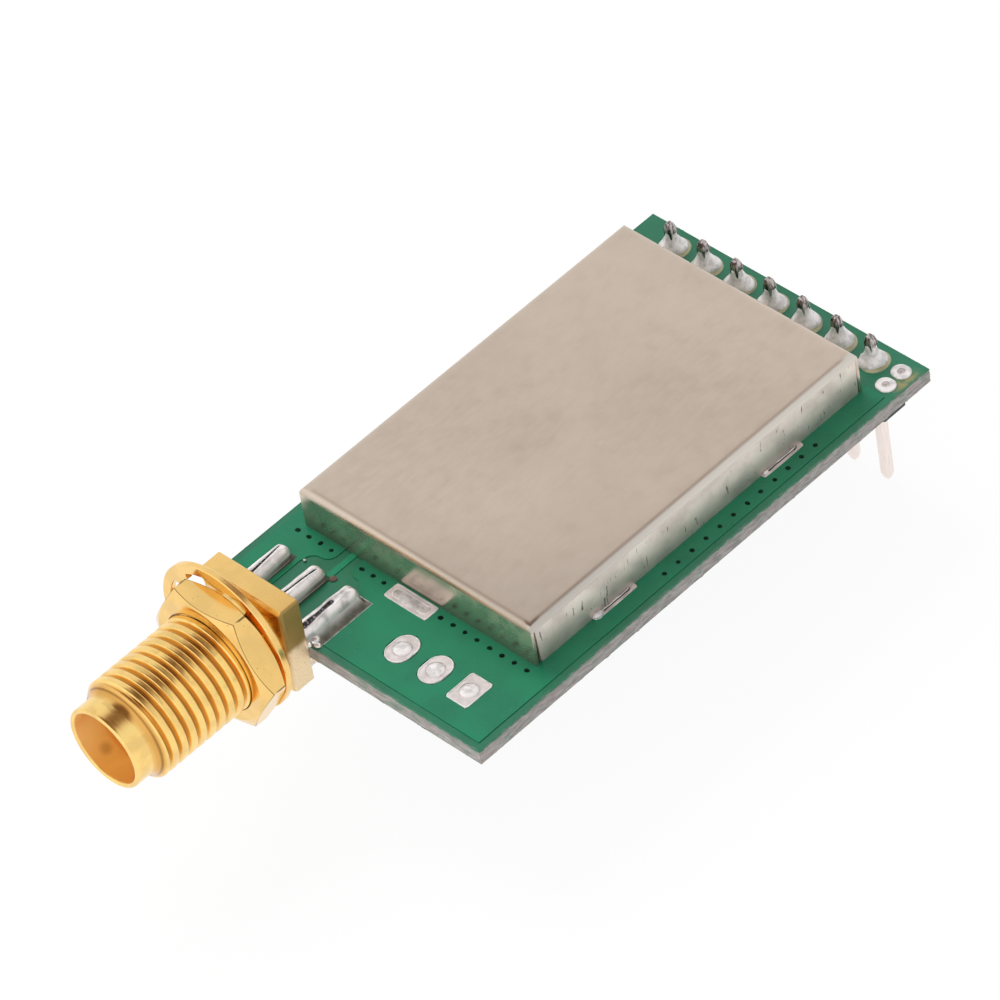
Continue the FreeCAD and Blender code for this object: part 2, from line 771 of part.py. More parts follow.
def build_hole_solder():
    """Solder that fills the spare holes, domed on both faces, and the two small ones,
    where it stays below the pad."""
    spare = make_body("spare_hole_solder", x=first_spare, y=spare_y)
    bore = size.spare_hole_radius - size.plating
    crown = bore - 2 * size.solder_dome
    fill = loft(spare, "fill", 0, 0, [
        (copper_bottom - size.solder_dome, crown), (copper_bottom, bore),
        (copper_top, bore), (copper_top + size.solder_dome, crown)])
    repeat(spare, [fill], SPARE_ROW)

    tests = make_body("test_hole_solder", x=test_x, y=-size.test_back)
    plug = make_sketch(tests, "plug", offset=copper_bottom)
    small_round(plug, 0, 0, size.test_hole_radius - size.plating)
    fill = pad(tests, plug, plate_height - size.test_pit)
    repeat(tests, [fill], TEST_ROW)


def edges_where(feature, wanted):
    """Names of a feature's edges whose middle point passes a test."""
    names = []
    for number, edge in enumerate(feature.Shape.Edges, start=1):
        if wanted(edge.CenterOfMass, edge):
            names.append(f"Edge{number}")
    return names


def near(first, second):
    """Whether two lengths are the same."""
    return abs(first - as_size(second).value) < SAME_LENGTH


def build_shield_can():
    """The folded can: a rounded box, hollowed to its sheet, open at the corner seams,
    with four tabs through the board."""
    body = make_body("shield_can", z=copper_top)
    walls = make_sketch(body, "walls")
    rectangle(walls, can_left, can_right, can_near, can_far)
    block = pad(body, walls, size.can_height)
    doc.recompute()

    bends = body.newObject("PartDesign::Fillet", "shield_can_bends")
    top_edges = edges_where(block, lambda middle, edge: near(middle.z, size.can_height))
    bends.Base = (block, top_edges)
    bind(bends, "Radius", size.can_bend)
    doc.recompute()

    hollow = body.newObject("PartDesign::Thickness", "shield_can_hollow")
    open_face = next(f"Face{number}" for number, face in enumerate(bends.Shape.Faces, start=1)
                     if near(face.BoundBox.ZMax, 0))
    hollow.Base = (bends, [open_face])
    bind(hollow, "Value", size.can_sheet)
    hollow.Reversed = True
    doc.recompute()

    seams = make_sketch(body, "seams", plane="YZ_Plane")
    seam_end = size.can_height - size.seam_start
    for wall, way in ((can_near + size.can_sheet, 1), (can_far - size.can_sheet, -1)):
        outline(seams, [(wall, 0), (wall + way * size.seam_foot, 0),
                        (wall + way * size.seam_top, seam_end), (wall, seam_end)])
    cut_through(body, seams)

    pad(body, tab_sketch(body), plate_height, down=True)


def build_shield_solder():
    """Solder in the five slots, and a bead between each pad and its wall."""
    body = make_body("shield_solder", z=copper_bottom)
    slots = make_sketch(body, "slots")
    slot_outlines(slots)
    pad(body, slots, plate_height)

    cut_through(body, tab_sketch(body))

    beads = []
    for side, wall, way in (("left", can_left, -1), ("right", can_right, 1)):
        bead = make_sketch(body, f"bead_{side}", plane="XZ_Plane", offset=-tab_first)
        outline(bead, [(wall, plate_height), (wall + way * size.bead_width, plate_height),
                       (wall, plate_height + size.bead_height)])
        beads.append(pad(body, bead, size.bead_length, both_ways=True))
    repeat(body, beads, TAB_ROW)


def thread_ridges(start, end):
    """The bare thread between its first and last crest: sharp ridges a pitch apart, and
    a short land at both ends that makes up the length."""
    grooves = size.thread_grooves * size.thread_pitch
    first = start + (end - start - grooves) / 2
    points = [(size.thread_radius, -start)]
    for groove in range(int(size.thread_grooves.value)):
        crest = first + groove * size.thread_pitch
        points.append((size.thread_radius, -crest))
        points.append((size.thread_radius - size.thread_depth, -(crest + size.thread_pitch / 2)))
    return points + [(size.thread_radius, -(first + grooves)), (size.thread_radius, -end)]


def build_connector_body():
    """The jack's gold-plated body: a square block with a turned barrel and four legs.
    Its own origin is on the axis at the board's edge."""
    body = make_body("connector_body", x=jack_x, y=near_edge, z=jack_z)
    square = make_sketch(body, "square", plane="XZ_Plane")
    middle_rectangle(square, 0, 0, size.block_side, size.block_side)
    block = pad(body, square, size.block_thick)
    doc.recompute()

    bevel = body.newObject("PartDesign::Chamfer", "connector_body_bevel")
    bevel.Base = (block, edges_where(block, lambda middle, edge: not near(middle.y, 0)))
    bind(bevel, "Size", size.block_bevel)

    legs = make_sketch(body, "legs", plane="XZ_Plane")
    half_leg = size.leg_width / 2
    upper_foot = copper_top - jack_z
    lower_top = copper_bottom - jack_z
    for x in (-leg_offset, leg_offset):
        rectangle(legs, x - half_leg, x + half_leg, upper_foot, upper_foot + size.leg_height)
        rectangle(legs, x - half_leg, x + half_leg, lower_top - size.leg_height, lower_top)
    pad(body, legs, size.leg_length, down=True)

    thread_start = size.block_thick + size.neck_length
    nut_front = thread_start + size.washer_thick + size.nut_thick
    nose_start = size.thread_end + size.nose_cone
    shelf = size.jack_reach - size.mouth_depth
    profile = make_sketch(body, "profile")
    outline(profile, [
        (0, -size.block_thick),
        (size.neck_radius, -size.block_thick),
        (size.neck_radius, -thread_start),
        (size.thread_mean, -thread_start),
        (size.thread_mean, -nut_front),
        *thread_ridges(nut_front + size.thread_lead, size.thread_end),
        (size.nose_radius, -nose_start),
        (size.nose_radius, size.nose_lip - size.jack_reach),
        (size.nose_radius - size.nose_lip, -size.jack_reach),
        (size.mouth_radius + size.nose_lip, -size.jack_reach),
        (size.mouth_radius, size.nose_lip - size.jack_reach),
        (size.mouth_radius, -shelf),
        (0, -shelf),
    ])
    turn(body, profile)
    bore = make_sketch(body, "bore", plane="XZ_Plane")
    circle(bore, 0, 0, size.insulator_radius)
    cut_through(body, bore)


def build_connector_inside():
    """The insulator and the slotted centre contact with its tail."""
    shelf = size.jack_reach - size.mouth_depth
    insulator = make_body("connector_insulator", x=jack_x, y=near_edge, z=jack_z)
    ring = make_sketch(insulator, "ring", plane="XZ_Plane")
    circle(ring, 0, 0, size.insulator_radius)
    circle(ring, 0, 0, size.contact_radius)
    pad(insulator, ring, shelf)

    contact = make_body("centre_contact", x=jack_x, y=near_edge, z=jack_z)
    rod = make_sketch(contact, "rod", plane="XZ_Plane")
    circle(rod, 0, 0, size.contact_radius)
    pad(contact, rod, shelf)
    tail = make_sketch(contact, "tail", plane="XZ_Plane")
    half_tail = size.tail_width / 2
    tail_foot = copper_top - jack_z
    rectangle(tail, -half_tail, half_tail, tail_foot, tail_foot + size.tail_height)
    pad(contact, tail, size.leg_length, down=True)
    socket = make_sketch(contact, "socket", plane="XZ_Plane", offset=shelf)
    circle(socket, 0, 0, size.socket_radius)
    pocket(contact, socket, size.socket_depth)
    across = 2 * size.contact_radius + size.socket_slit
    for name, width, height in (
            ("upright_slit", size.socket_slit, across),
            ("level_slit", across, size.socket_slit)):
        slit = make_sketch(contact, name, plane="XZ_Plane", offset=shelf)
        middle_rectangle(slit, 0, 0, width, height)
        pocket(contact, slit, size.slit_depth)


def build_lock_washer():
    """A flat ring with teeth that point to the thread. It hangs loose, off the axis."""
    face = size.block_thick + size.neck_length
    body = make_body("lock_washer", x=jack_x - size.washer_left, y=near_edge - face,
                     z=jack_z + size.washer_up)
    ring_inner = size.washer_radius - size.washer_ring
    ring = make_sketch(body, "ring", plane="XZ_Plane")
    circle(ring, 0, 0, size.washer_radius)
    circle(ring, 0, 0, ring_inner)
    pad(body, ring, size.washer_thick)
    tooth = make_sketch(body, "tooth", plane="XZ_Plane")
    tip = size.thread_radius + size.tooth_gap
    root = ring_inner + size.washer_ring / 2
    half_root = size.tooth_width / 2
    half_tip = size.tooth_tip / 2
    outline(tooth, [(-half_root, root), (-half_tip, tip), (half_tip, tip), (half_root, root)])
    one = pad(body, tooth, size.washer_thick)
    teeth = body.newObject("PartDesign::PolarPattern", "lock_washer_teeth")
    teeth.Originals = [one]
    teeth.Axis = (origin_feature(body, "Y_Axis"), [""])
    teeth.Angle = FULL_TURN
    bind(teeth, "Occurrences", size.tooth_count)
    body.Tip = teeth


def build_hex_nut():
    """The nut: a hexagon with its corners turned off on both faces."""
    face = size.block_thick + size.neck_length + size.washer_thick
    body = make_body("hex_nut", x=jack_x, y=near_edge - face, z=jack_z)
    corner = size.nut_flats * HEX_CORNER
    hexagon = make_sketch(body, "hexagon", plane="XZ_Plane")
    half_flat = size.nut_flats / 2
    outline(hexagon, [(corner, 0), (corner / 2, half_flat), (-corner / 2, half_flat), (-corner, 0),
                      (-corner / 2, -half_flat), (corner / 2, -half_flat)])
    pad(body, hexagon, size.nut_thick)
    bore_radius = size.thread_mean + size.thread_play
    bore = make_sketch(body, "bore", plane="XZ_Plane")
    circle(bore, 0, 0, bore_radius)
    cut_through(body, bore)

    ring = half_flat - size.nut_chamfer
    outside = corner + size.nut_chamfer
    depth = (outside - ring) * NUT_SLOPE
    corners = make_sketch(body, "corners")
    leads = make_sketch(body, "leads")
    lead = bore_radius + size.nut_lead
    inside = bore_radius - size.nut_lead
    for level, way in ((0, -1), (-size.nut_thick, 1)):
        outline(corners, [(ring, level), (outside, level), (outside, level + way * depth)])
        outline(leads, [(inside, level), (lead, level), (inside, level + way * (lead - inside))])
    turn(body, corners, "Groove")
    turn(body, leads, "Groove")


def leg_mound(body, name, pad_sides, leg_x, half_leg, level, way):
    """Solder round one leg: a mound from near the pad's edge up the leg's sides."""
    margin = size.solder_margin
    foot = make_sketch(body, f"{name}_foot", offset=level)
    left, right = pad_sides
    rectangle(foot, left + margin, right - margin, pad_near, pad_far - margin)
    crest = make_sketch(body, f"{name}_crest", offset=level + way * size.leg_solder)
    side = half_leg + size.solder_top
    crest_end = near_edge + size.leg_length + size.solder_top / 2
    rectangle(crest, leg_x - side, leg_x + side, pad_near, crest_end)
    mound = body.newObject("PartDesign::AdditiveLoft", f"{name}_mound")
    mound.Profile = foot
    mound.Sections = [crest]
    mound.Ruled = True


def build_connector_solder():
    """Solder round the tail and the four legs, with the space of each left free."""
    body = make_body("connector_solder")
    half_leg = size.leg_width / 2
    half_tail = size.tail_width / 2
    leg_end = near_edge + size.leg_length
    levels = (("upper", copper_top, 1), ("lower", copper_bottom, -1))
    for level_name, level, way in levels:
        for side, pad_sides in zip((-1, 1), LEG_PADS):
            name = f"{level_name}_{'left' if side < 0 else 'right'}"
            leg_mound(body, name, pad_sides, jack_x + side * leg_offset, half_leg, level, way)
    leg_mound(body, "tail", SIGNAL_PAD, jack_x, half_tail, copper_top, 1)
    for level_name, level, way in levels:
        space = make_sketch(body, f"{level_name}_space", offset=level)
        for side in (-1, 1):
            leg_x = jack_x + side * leg_offset
            rectangle(space, leg_x - half_leg, leg_x + half_leg, near_edge, leg_end)
        if way > 0:
            rectangle(space, jack_x - half_tail, jack_x + half_tail, near_edge, leg_end)
        pocket(body, space, size.leg_height, along_normal=way > 0)


def build_header_strip():
    """The plastic strip: one eight-sided cell for each pin."""
    body = make_body("header_strip")
    cell = make_sketch(body, "cell")
    half_pitch = size.pin_pitch / 2
    half_depth = size.strip_depth / 2
    flat_x = half_pitch - size.strip_chamfer
    flat_y = half_depth - size.strip_chamfer
    x = first_pin
    outline(cell, [
        (x - flat_x, -half_depth), (x + flat_x, -half_depth),
        (x + half_pitch, -flat_y), (x + half_pitch, flat_y),
        (x + flat_x, half_depth), (x - flat_x, half_depth),
        (x - half_pitch, flat_y), (x - half_pitch, -flat_y),
    ])
    block = pad(body, cell, size.strip_height)
    repeat(body, [block], PIN_ROW)
    holes = make_sketch(body, "hole")
    middle_rectangle(holes, x, 0, size.pin_side, size.pin_side)
    hole = cut_through(body, holes)
    repeat(body, [hole], PIN_ROW)


def build_header_pins():
    """Square pins that narrow to a small flat at both ends."""
    top = board_top + size.pin_rise
    bottom = -size.pin_drop
    half = size.pin_side / 2
    tip = size.pin_tip / 2
    for number in range(int(size.pin_count.value)):
        x = first_pin + number * size.pin_pitch
        body = make_body(f"header_pin_{number + 1}", x=x)
        front = make_sketch(body, "front", plane="XZ_Plane")
        outline(front, [
            (-tip, bottom), (tip, bottom), (half, bottom + size.pin_taper),
            (half, top - size.pin_taper), (tip, top), (-tip, top),
            (-half, top - size.pin_taper), (-half, bottom + size.pin_taper),
        ])
        pad(body, front, size.pin_side, both_ways=True)
        corners = make_sketch(body, "corners", plane="YZ_Plane")
        for way in (-1, 1):
            for end, inward in ((bottom, 1), (top, -1)):
                outline(corners, [(way * tip, end), (way * half, end),
                                  (way * half, end + inward * size.pin_taper)])
        cut_through(body, corners)


def build_header_solder():
    """One hollow-sided solder cone for each pin, which also fills its plated hole."""
    body = make_body("header_solder", x=first_pin)
    bore = size.header_hole_radius - size.plating
    waist_level = copper_top + (size.cone_height - size.copper_thick) * size.cone_waist_share
    cone = loft(body, "cone", 0, 0, [
        (copper_top, size.cone_radius), (waist_level, size.cone_waist),
        (board_top + size.cone_height, size.cone_neck)])
    plug = make_sketch(body, "plug", offset=copper_bottom)
    small_round(plug, 0, 0, bore)
    fill = pad(body, plug, plate_height)
    square = make_sketch(body, "square")
    middle_rectangle(square, 0, 0, size.pin_side, size.pin_side)
    hole = cut_through(body, square)
    repeat(body, [cone, fill, hole], PIN_ROW)


def piece_sizes(label, fields):
    """The sizes of one piece of a table, by field."""
    return SimpleNamespace(**{field: getattr(size, f"{label}_{field}") for field in fields})


def build_package(label):
    """A chip package with its leads along two sides, and a bevelled rim on top."""
    package = piece_sizes(label, PACKAGE_FIELDS)
    body = make_body(label, x=can_x + package.x, y=can_y + package.y, z=copper_top)
    case = make_sketch(body, "case")
    middle_rectangle(case, 0, 0, package.width, package.length)
    block = pad(body, case, package.height)
    doc.recompute()
    rim = body.newObject("PartDesign::Chamfer", f"{label}_rim")
    rim.Base = (block, edges_where(block, lambda middle, edge: near(middle.z, package.height)))
    bind(rim, "Size", size.package_rim)
    leads = make_sketch(body, "leads")
    pitch = package.length / package.leads
    first = (pitch - package.length) / 2
    reach = package.width / 2 + size.lead_reach
    middle_rectangle(leads, 0, first, 2 * reach, pitch / 2)
    row = pad(body, leads, size.lead_height)
    along = Row("leads", 0, first, "Y_Axis", pitch, package.leads)
    repeat(body, [row], along)


def build_chip_row(label):
    """A row of small chips, each narrower in the middle than at its two metal ends."""
    chip = piece_sizes(label, CHIP_FIELDS)
    body = make_body(label, x=can_x + chip.x, y=can_y + chip.y, z=copper_top)
    case = make_sketch(body, "case")
    middle_rectangle(case, 0, 0, chip.length, chip.width - 2 * size.chip_end_step)
    middle = pad(body, case, chip.height - size.chip_end_step)
    ends = make_sketch(body, "ends")
    half = chip.length / 2
    side = chip.width / 2
    for inner, outer in ((-half, size.chip_end - half), (half - size.chip_end, half)):
        rectangle(ends, inner, outer, -side, side)
    caps = pad(body, ends, chip.height)
    along = Row(label, 0, 0, "X_Axis", chip.step, chip.count)
    repeat(body, [middle, caps], along)


def check_model():
    """Stop if a feature failed, a cut removed nothing or a sub-part is not a solid."""
    for item in doc.Objects:
        if "Invalid" in item.State or "Error" in item.State:
            raise RuntimeError(f"{item.Label} did not build: {item.State}")
        cuts = item.TypeId in ("PartDesign::Pocket", "PartDesign::Groove")
        if cuts and item.Shape.Volume >= item.BaseFeature.Shape.Volume:
            raise RuntimeError(f"{item.Label} cuts nothing")
    for label, part in parts.items():
        if part.Shape.isNull() or not part.Shape.isValid() or not part.Shape.Solids:
            raise RuntimeError(f"{label} is not a valid solid")


def write_parts():
    """Write one file for each sub-part."""
    os.makedirs("parts", exist_ok=True)
    for label, part in parts.items():
        part.Shape.exportStep(f"parts/{label}.step")


# The antenna switch ends the trace, so its near side is needed before the copper.
switch_y = (can_y + size.antenna_switch_chip_y) - size.antenna_switch_chip_length / 2

build_circuit_board()
build_ground_copper()
build_antenna_copper()
build_shield_pads()
build_plated_holes()
build_hole_solder()
build_shield_can()
build_shield_solder()
build_connector_body()
build_connector_inside()
build_lock_washer()
build_hex_nut()
build_connector_solder()
build_header_strip()
build_header_pins()
build_header_solder()
for package_label in PACKAGES:
    build_package(package_label)
for chip_label in CHIP_ROWS:
    build_chip_row(chip_label)

doc.recompute()
check_model()
write_parts()
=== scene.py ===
import math

import bpy
import numpy as np
from mathutils import Matrix, Vector


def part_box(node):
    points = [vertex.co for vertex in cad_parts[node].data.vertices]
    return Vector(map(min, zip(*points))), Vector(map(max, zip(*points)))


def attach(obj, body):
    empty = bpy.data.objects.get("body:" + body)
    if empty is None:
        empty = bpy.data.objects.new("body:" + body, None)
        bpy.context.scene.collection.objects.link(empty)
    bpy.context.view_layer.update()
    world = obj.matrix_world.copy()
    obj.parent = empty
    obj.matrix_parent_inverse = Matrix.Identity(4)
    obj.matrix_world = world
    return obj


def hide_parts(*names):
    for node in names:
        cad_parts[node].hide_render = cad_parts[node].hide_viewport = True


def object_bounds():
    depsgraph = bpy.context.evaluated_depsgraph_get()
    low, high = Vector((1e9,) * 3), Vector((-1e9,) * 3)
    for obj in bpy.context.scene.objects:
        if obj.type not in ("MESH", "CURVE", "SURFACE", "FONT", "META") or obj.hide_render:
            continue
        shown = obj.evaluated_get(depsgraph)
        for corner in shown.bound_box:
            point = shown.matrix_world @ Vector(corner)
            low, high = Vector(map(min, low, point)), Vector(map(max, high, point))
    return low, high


bl_info = {
    "name": "Radio module with antenna jack",
    "version": (1, 0, 0),
    "blender": (4, 5, 0),
    "location": "3D view > Sidebar > Radio module",
    "description": "Dresses the packed radio module in its finished surfaces",
    "category": "Object",
}

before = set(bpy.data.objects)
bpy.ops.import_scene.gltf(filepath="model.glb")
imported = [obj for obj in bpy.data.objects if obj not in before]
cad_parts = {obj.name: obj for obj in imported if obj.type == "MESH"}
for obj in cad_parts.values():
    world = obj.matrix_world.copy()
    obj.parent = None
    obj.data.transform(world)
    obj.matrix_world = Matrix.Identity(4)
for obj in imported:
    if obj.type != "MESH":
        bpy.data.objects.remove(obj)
PACKED_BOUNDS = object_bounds()

MM = 0.001
TURN = 2 * math.pi


def corners(node):
    """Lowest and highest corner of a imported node, as arrays."""
    low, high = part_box(node)
    return np.array(low), np.array(high)


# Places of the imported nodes. Near is the jack's end of the board, far the pins' end.
BOARD_LOW, BOARD_HIGH = corners("circuit_board")
BOARD_NEAR, BOARD_UNDER = map(float, BOARD_LOW[1:])
BOARD_RIGHT, BOARD_FAR, BOARD_TOP = map(float, BOARD_HIGH)
COPPER_TOP = float(corners("ground_copper_top")[1][2])
CAN_LOW, CAN_HIGH = corners("shield_can")
CAN_LEFT, CAN_NEAR = map(float, CAN_LOW[:2])
CAN_RIGHT, CAN_FAR, CAN_TOP = map(float, CAN_HIGH)
NUT_LOW, NUT_HIGH = corners("hex_nut")
NUT_FRONT, NUT_BACK = float(NUT_LOW[1]), float(NUT_HIGH[1])
JACK_X, _, JACK_Z = map(float, (NUT_LOW + NUT_HIGH) / 2)
MOUTH_END = float(corners("connector_body")[0][1])
PIN_NODES = [f"header_pin_{number}" for number in range(1, 8)]

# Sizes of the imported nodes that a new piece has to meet
BORE_RADIUS = 2.05 * MM
BORE_SHELF = MOUTH_END + 1.9 * MM
LEG_SPACING = 2.65 * MM
RIGHT_PAD_X = JACK_X + 2.785 * MM
PIN_PITCH = 2.54 * MM
TAB_PLACES = [CAN_NEAR + 6.1 * MM, CAN_NEAR + 19.5 * MM]


# Sizes and colours that a user may change


class BoardSettings(bpy.types.PropertyGroup):
    """Sizes and colours of the board, its pads and its solder."""

    mask_colour: bpy.props.FloatVectorProperty(
        name="Mask", description="Green mask over bare laminate", subtype="COLOR",
        default=(0.007, 0.138, 0.068))
    copper_mask_colour: bpy.props.FloatVectorProperty(
        name="Mask over copper", description="Green mask over copper", subtype="COLOR",
        default=(0.010, 0.168, 0.083))
    edge_colour: bpy.props.FloatVectorProperty(
        name="Cut edge", description="Sawn glass fibre", subtype="COLOR",
        default=(0.36, 0.34, 0.325))
    tin_colour: bpy.props.FloatVectorProperty(
        name="Tinned pad", description="Tinned pad", subtype="COLOR",
        default=(0.74, 0.68, 0.665))
    solder_colour: bpy.props.FloatVectorProperty(
        name="Solder", description="Bright solder", subtype="COLOR",
        default=(0.9, 0.865, 0.86))
    edge_roughness: bpy.props.FloatProperty(
        name="Edge tears", description="Depth of the tears in the board's cut edge",
        default=0.06 * MM, unit="LENGTH")
    edge_wrap: bpy.props.FloatProperty(
        name="Bare rim", description="Width of the bare rim inside the board's edge",
        default=0.05 * MM, unit="LENGTH")
    via_radius: bpy.props.FloatProperty(
        name="Via", description="Radius of a plugged via", default=0.165 * MM, unit="LENGTH")


class CanSettings(bpy.types.PropertyGroup):
    """Sizes and colour of the shield can."""

    metal_colour: bpy.props.FloatVectorProperty(
        name="Sheet metal", description="Nickel silver sheet", subtype="COLOR",
        default=(0.655, 0.555, 0.465))
    wall_colour: bpy.props.FloatVectorProperty(
        name="Side walls", description="Scratched sheet of the side walls", subtype="COLOR",
        default=(0.86, 0.75, 0.69))
    bend: bpy.props.FloatProperty(
        name="Bend", description="Outside radius of the top bends", default=0.45 * MM,
        unit="LENGTH")
    sheet: bpy.props.FloatProperty(
        name="Sheet", description="Thickness of the sheet", default=0.2 * MM, unit="LENGTH")
    seam_foot: bpy.props.FloatProperty(
        name="Seam at foot", description="Width of a corner seam at the board",
        default=0.22 * MM, unit="LENGTH")
    seam_top: bpy.props.FloatProperty(
        name="Seam at top", description="Width of a corner seam below the bend",
        default=0.08 * MM, unit="LENGTH")


class JackSettings(bpy.types.PropertyGroup):
    """Sizes and colours of the antenna jack."""

    gold_colour: bpy.props.FloatVectorProperty(
        name="Gold plate", description="Gold plate", subtype="COLOR",
        default=(0.93, 0.615, 0.22))
    barrel_colour: bpy.props.FloatVectorProperty(
        name="Barrel", description="Warmer gold plate of the barrel", subtype="COLOR",
        default=(1.0, 0.68, 0.24))
    insulator_colour: bpy.props.FloatVectorProperty(
        name="Insulator", description="White plastic of the insulator", subtype="COLOR",
        default=(0.95, 0.86, 0.68))
    thread_radius: bpy.props.FloatProperty(
        name="Thread", description="Radius of the thread over its crests",
        default=3.175 * MM, unit="LENGTH")
    thread_pitch: bpy.props.FloatProperty(
        name="Pitch", description="Advance of the thread in one turn",
        default=0.7056 * MM, unit="LENGTH")
    thread_depth: bpy.props.FloatProperty(
        name="Thread depth", description="Depth of the thread", default=0.26 * MM,
        unit="LENGTH")
    nose_radius: bpy.props.FloatProperty(
        name="Nose", description="Radius of the plain nose", default=2.62 * MM,
        unit="LENGTH")
    mouth_radius: bpy.props.FloatProperty(
        name="Mouth", description="Radius of the mouth", default=2.3 * MM, unit="LENGTH")
    nut_flats: bpy.props.FloatProperty(
        name="Nut", description="Width of the nut across its flats", default=8.0 * MM,
        unit="LENGTH")


class HeaderSettings(bpy.types.PropertyGroup):
    """Sizes and colours of the pin header."""

    pin_colour: bpy.props.FloatVectorProperty(
        name="Pin", description="Tinned brass pin", subtype="COLOR",
        default=(0.9, 0.8, 0.75))
    strip_colour: bpy.props.FloatVectorProperty(
        name="Strip", description="Black plastic strip", subtype="COLOR",
        default=(0.018, 0.017, 0.016))
    pin_side: bpy.props.FloatProperty(
        name="Pin side", description="Side of a square pin", default=0.58 * MM,
        unit="LENGTH")
    cone_radius: bpy.props.FloatProperty(
        name="Solder foot", description="Radius of a solder cone at its foot",
        default=0.93 * MM, unit="LENGTH")
    cone_height: bpy.props.FloatProperty(
        name="Solder height", description="Height of a solder cone above the board",
        default=1.3 * MM, unit="LENGTH")


class StageSettings(bpy.types.PropertyGroup):
    """Camera and light."""

    lens: bpy.props.FloatProperty(
        name="Lens", description="Focal length of the camera in millimetres",
        default=270.99)
    lamp_power: bpy.props.FloatProperty(
        name="Key lamp", description="Power of the key lamp", default=2.0, unit="POWER")
    world_strength: bpy.props.FloatProperty(
        name="World", description="Strength of the light from all round", default=0.72)
    tent_strength: bpy.props.FloatProperty(
        name="Reflected tent", description="Brightness of the white tent in reflections",
        default=0.93)
    tent_front: bpy.props.FloatProperty(
        name="Reflected front", description="Brightness of the tent's front in reflections",
        default=1.15)
    tent_top: bpy.props.FloatProperty(
        name="Open top", description="Brightness of the tent's open top in reflections",
        default=0.22)
    top_colour: bpy.props.FloatVectorProperty(
        name="Open top's colour", description="Colour of the tent's open top", subtype="COLOR",
        default=(1.0, 0.62, 0.4))


# Surfaces


def wander(x, y, z, size, seed):
    """A smooth random wave between about -1 and 1: the mean of eight sines that run in
    seeded directions, with wavelengths near the given size."""
    random = np.random.default_rng(seed)
    total = np.zeros(np.broadcast(x, y, z).shape)
    for _ in range(8):
        way = random.normal(size=3)
        way *= TURN / (size * np.linalg.norm(way) * random.uniform(0.6, 1.6))
        total += np.sin(way[0] * x + way[1] * y + way[2] * z + random.uniform(0, TURN))
    return total / 4


def smooth_step(value, start, end):
    """Runs from 0 to 1 between two ends with a level slope at both."""
    share = np.clip((value - start) / (end - start), 0, 1)
    return share * share * (3 - 2 * share)


def grid_quads(rows, columns, wrap_rows, wrap_columns):
    """Quads between the neighbours of a grid, closed round where told."""
    row, column = np.meshgrid(np.arange(rows if wrap_rows else rows - 1),
                              np.arange(columns if wrap_columns else columns - 1),
                              indexing="ij")
    below = (row + 1) % rows
    right = (column + 1) % columns
    quads = [row * columns + column, row * columns + right,
             below * columns + right, below * columns + column]
    return np.stack(quads, -1).reshape(-1, 4)


def outward(verts, quads, tris):
    """Turns a closed skin's faces outwards: its volume, the sum over its triangles of
    the triple product of their corners, has to be above zero."""
    split = np.vstack([quads[:, [0, 1, 2]], quads[:, [0, 2, 3]], tris])
    a, b, c = (verts[split[:, corner]] - verts.mean(0) for corner in range(3))
    if np.einsum("ij,ij->i", a, np.cross(b, c)).sum() < 0:
        quads = quads[:, ::-1]
        tris = tris[:, ::-1]
    return verts, quads, tris


def upside_down(skin):
    """The skin seen in a mirror at level 0, for the board's underside."""
    verts, quads, tris = skin
    return outward(verts * np.array([1, 1, -1]), quads, tris)


def tube(rings):
    """A skin over a stack of rings, with a fan of triangles over each end."""
    count, around, _ = rings.shape
    verts = np.vstack([rings.reshape(-1, 3), rings[0].mean(0), rings[-1].mean(0)])
    here = np.arange(around)
    following = (here + 1) % around
    last = (count - 1) * around
    first_fan = np.stack([following, here, np.full(around, count * around)], -1)
    last_fan = np.stack([last + here, last + following,
                         np.full(around, count * around + 1)], -1)
    quads = grid_quads(count, around, False, True)
    return outward(verts, quads, np.vstack([first_fan, last_fan]))


def hoop(rings):
    """A skin over rings whose last one joins the first, as round a washer."""
    count, around, _ = rings.shape
    quads = grid_quads(count, around, True, True)
    return outward(rings.reshape(-1, 3), quads, np.zeros((0, 3), int))


def slab(front, back):
    """A skin over two open grids of the same size, joined along their four sides."""
    rows, columns, _ = front.shape
    verts = np.vstack([front.reshape(-1, 3), back.reshape(-1, 3)])
    face = grid_quads(rows, columns, False, False)
    across = np.arange(columns)
    down = np.arange(rows)
    rim = np.concatenate([across, down[1:] * columns + columns - 1,
                          (rows - 1) * columns + across[-2::-1], down[-2:0:-1] * columns])
    following = np.roll(rim, -1)
    shift = rows * columns
    sides = np.stack([rim, rim + shift, following + shift, following], -1)
    quads = np.vstack([face, face[:, ::-1] + shift, sides])
    return outward(verts, quads, np.zeros((0, 3), int))


def angles(count, shift=0):
    """Equal steps round a full turn, from a shift of part of a step on."""
    return (np.arange(count) + shift) * TURN / count


def points(x, y, z):
    """Points from three coordinates, each one value or an array of them."""
    return np.stack(np.broadcast_arrays(x, y, z), -1)


def axis_rings(rows, angle, axis_x, axis_z):
    """Rings round a level axis from rows of a place along it and a radius, each one value
    or one for every angle: x and z are the radius times cosine and sine."""
    return np.stack([points(axis_x + radius * np.cos(angle), y, axis_z + radius * np.sin(angle))
                     for y, radius in rows])


def dented_ball(middle, half, levels, around, dent, grain, seed):
    """A sphere, cosine times cosine, cosine times sine and sine of its two angles, pulled
    out to its half sizes and dented by a seeded wave."""
    rise = np.linspace(-math.pi / 2, math.pi / 2, levels)[1:-1, None]
    turn = angles(around)[None]
    ball = points(np.cos(rise) * np.cos(turn), np.cos(rise) * np.sin(turn), np.sin(rise))
    reach = 1 + dent * wander(ball[..., 0], ball[..., 1], ball[..., 2], grain, seed)
    return tube(np.array(middle) + np.array(half) * ball * reach[..., None])


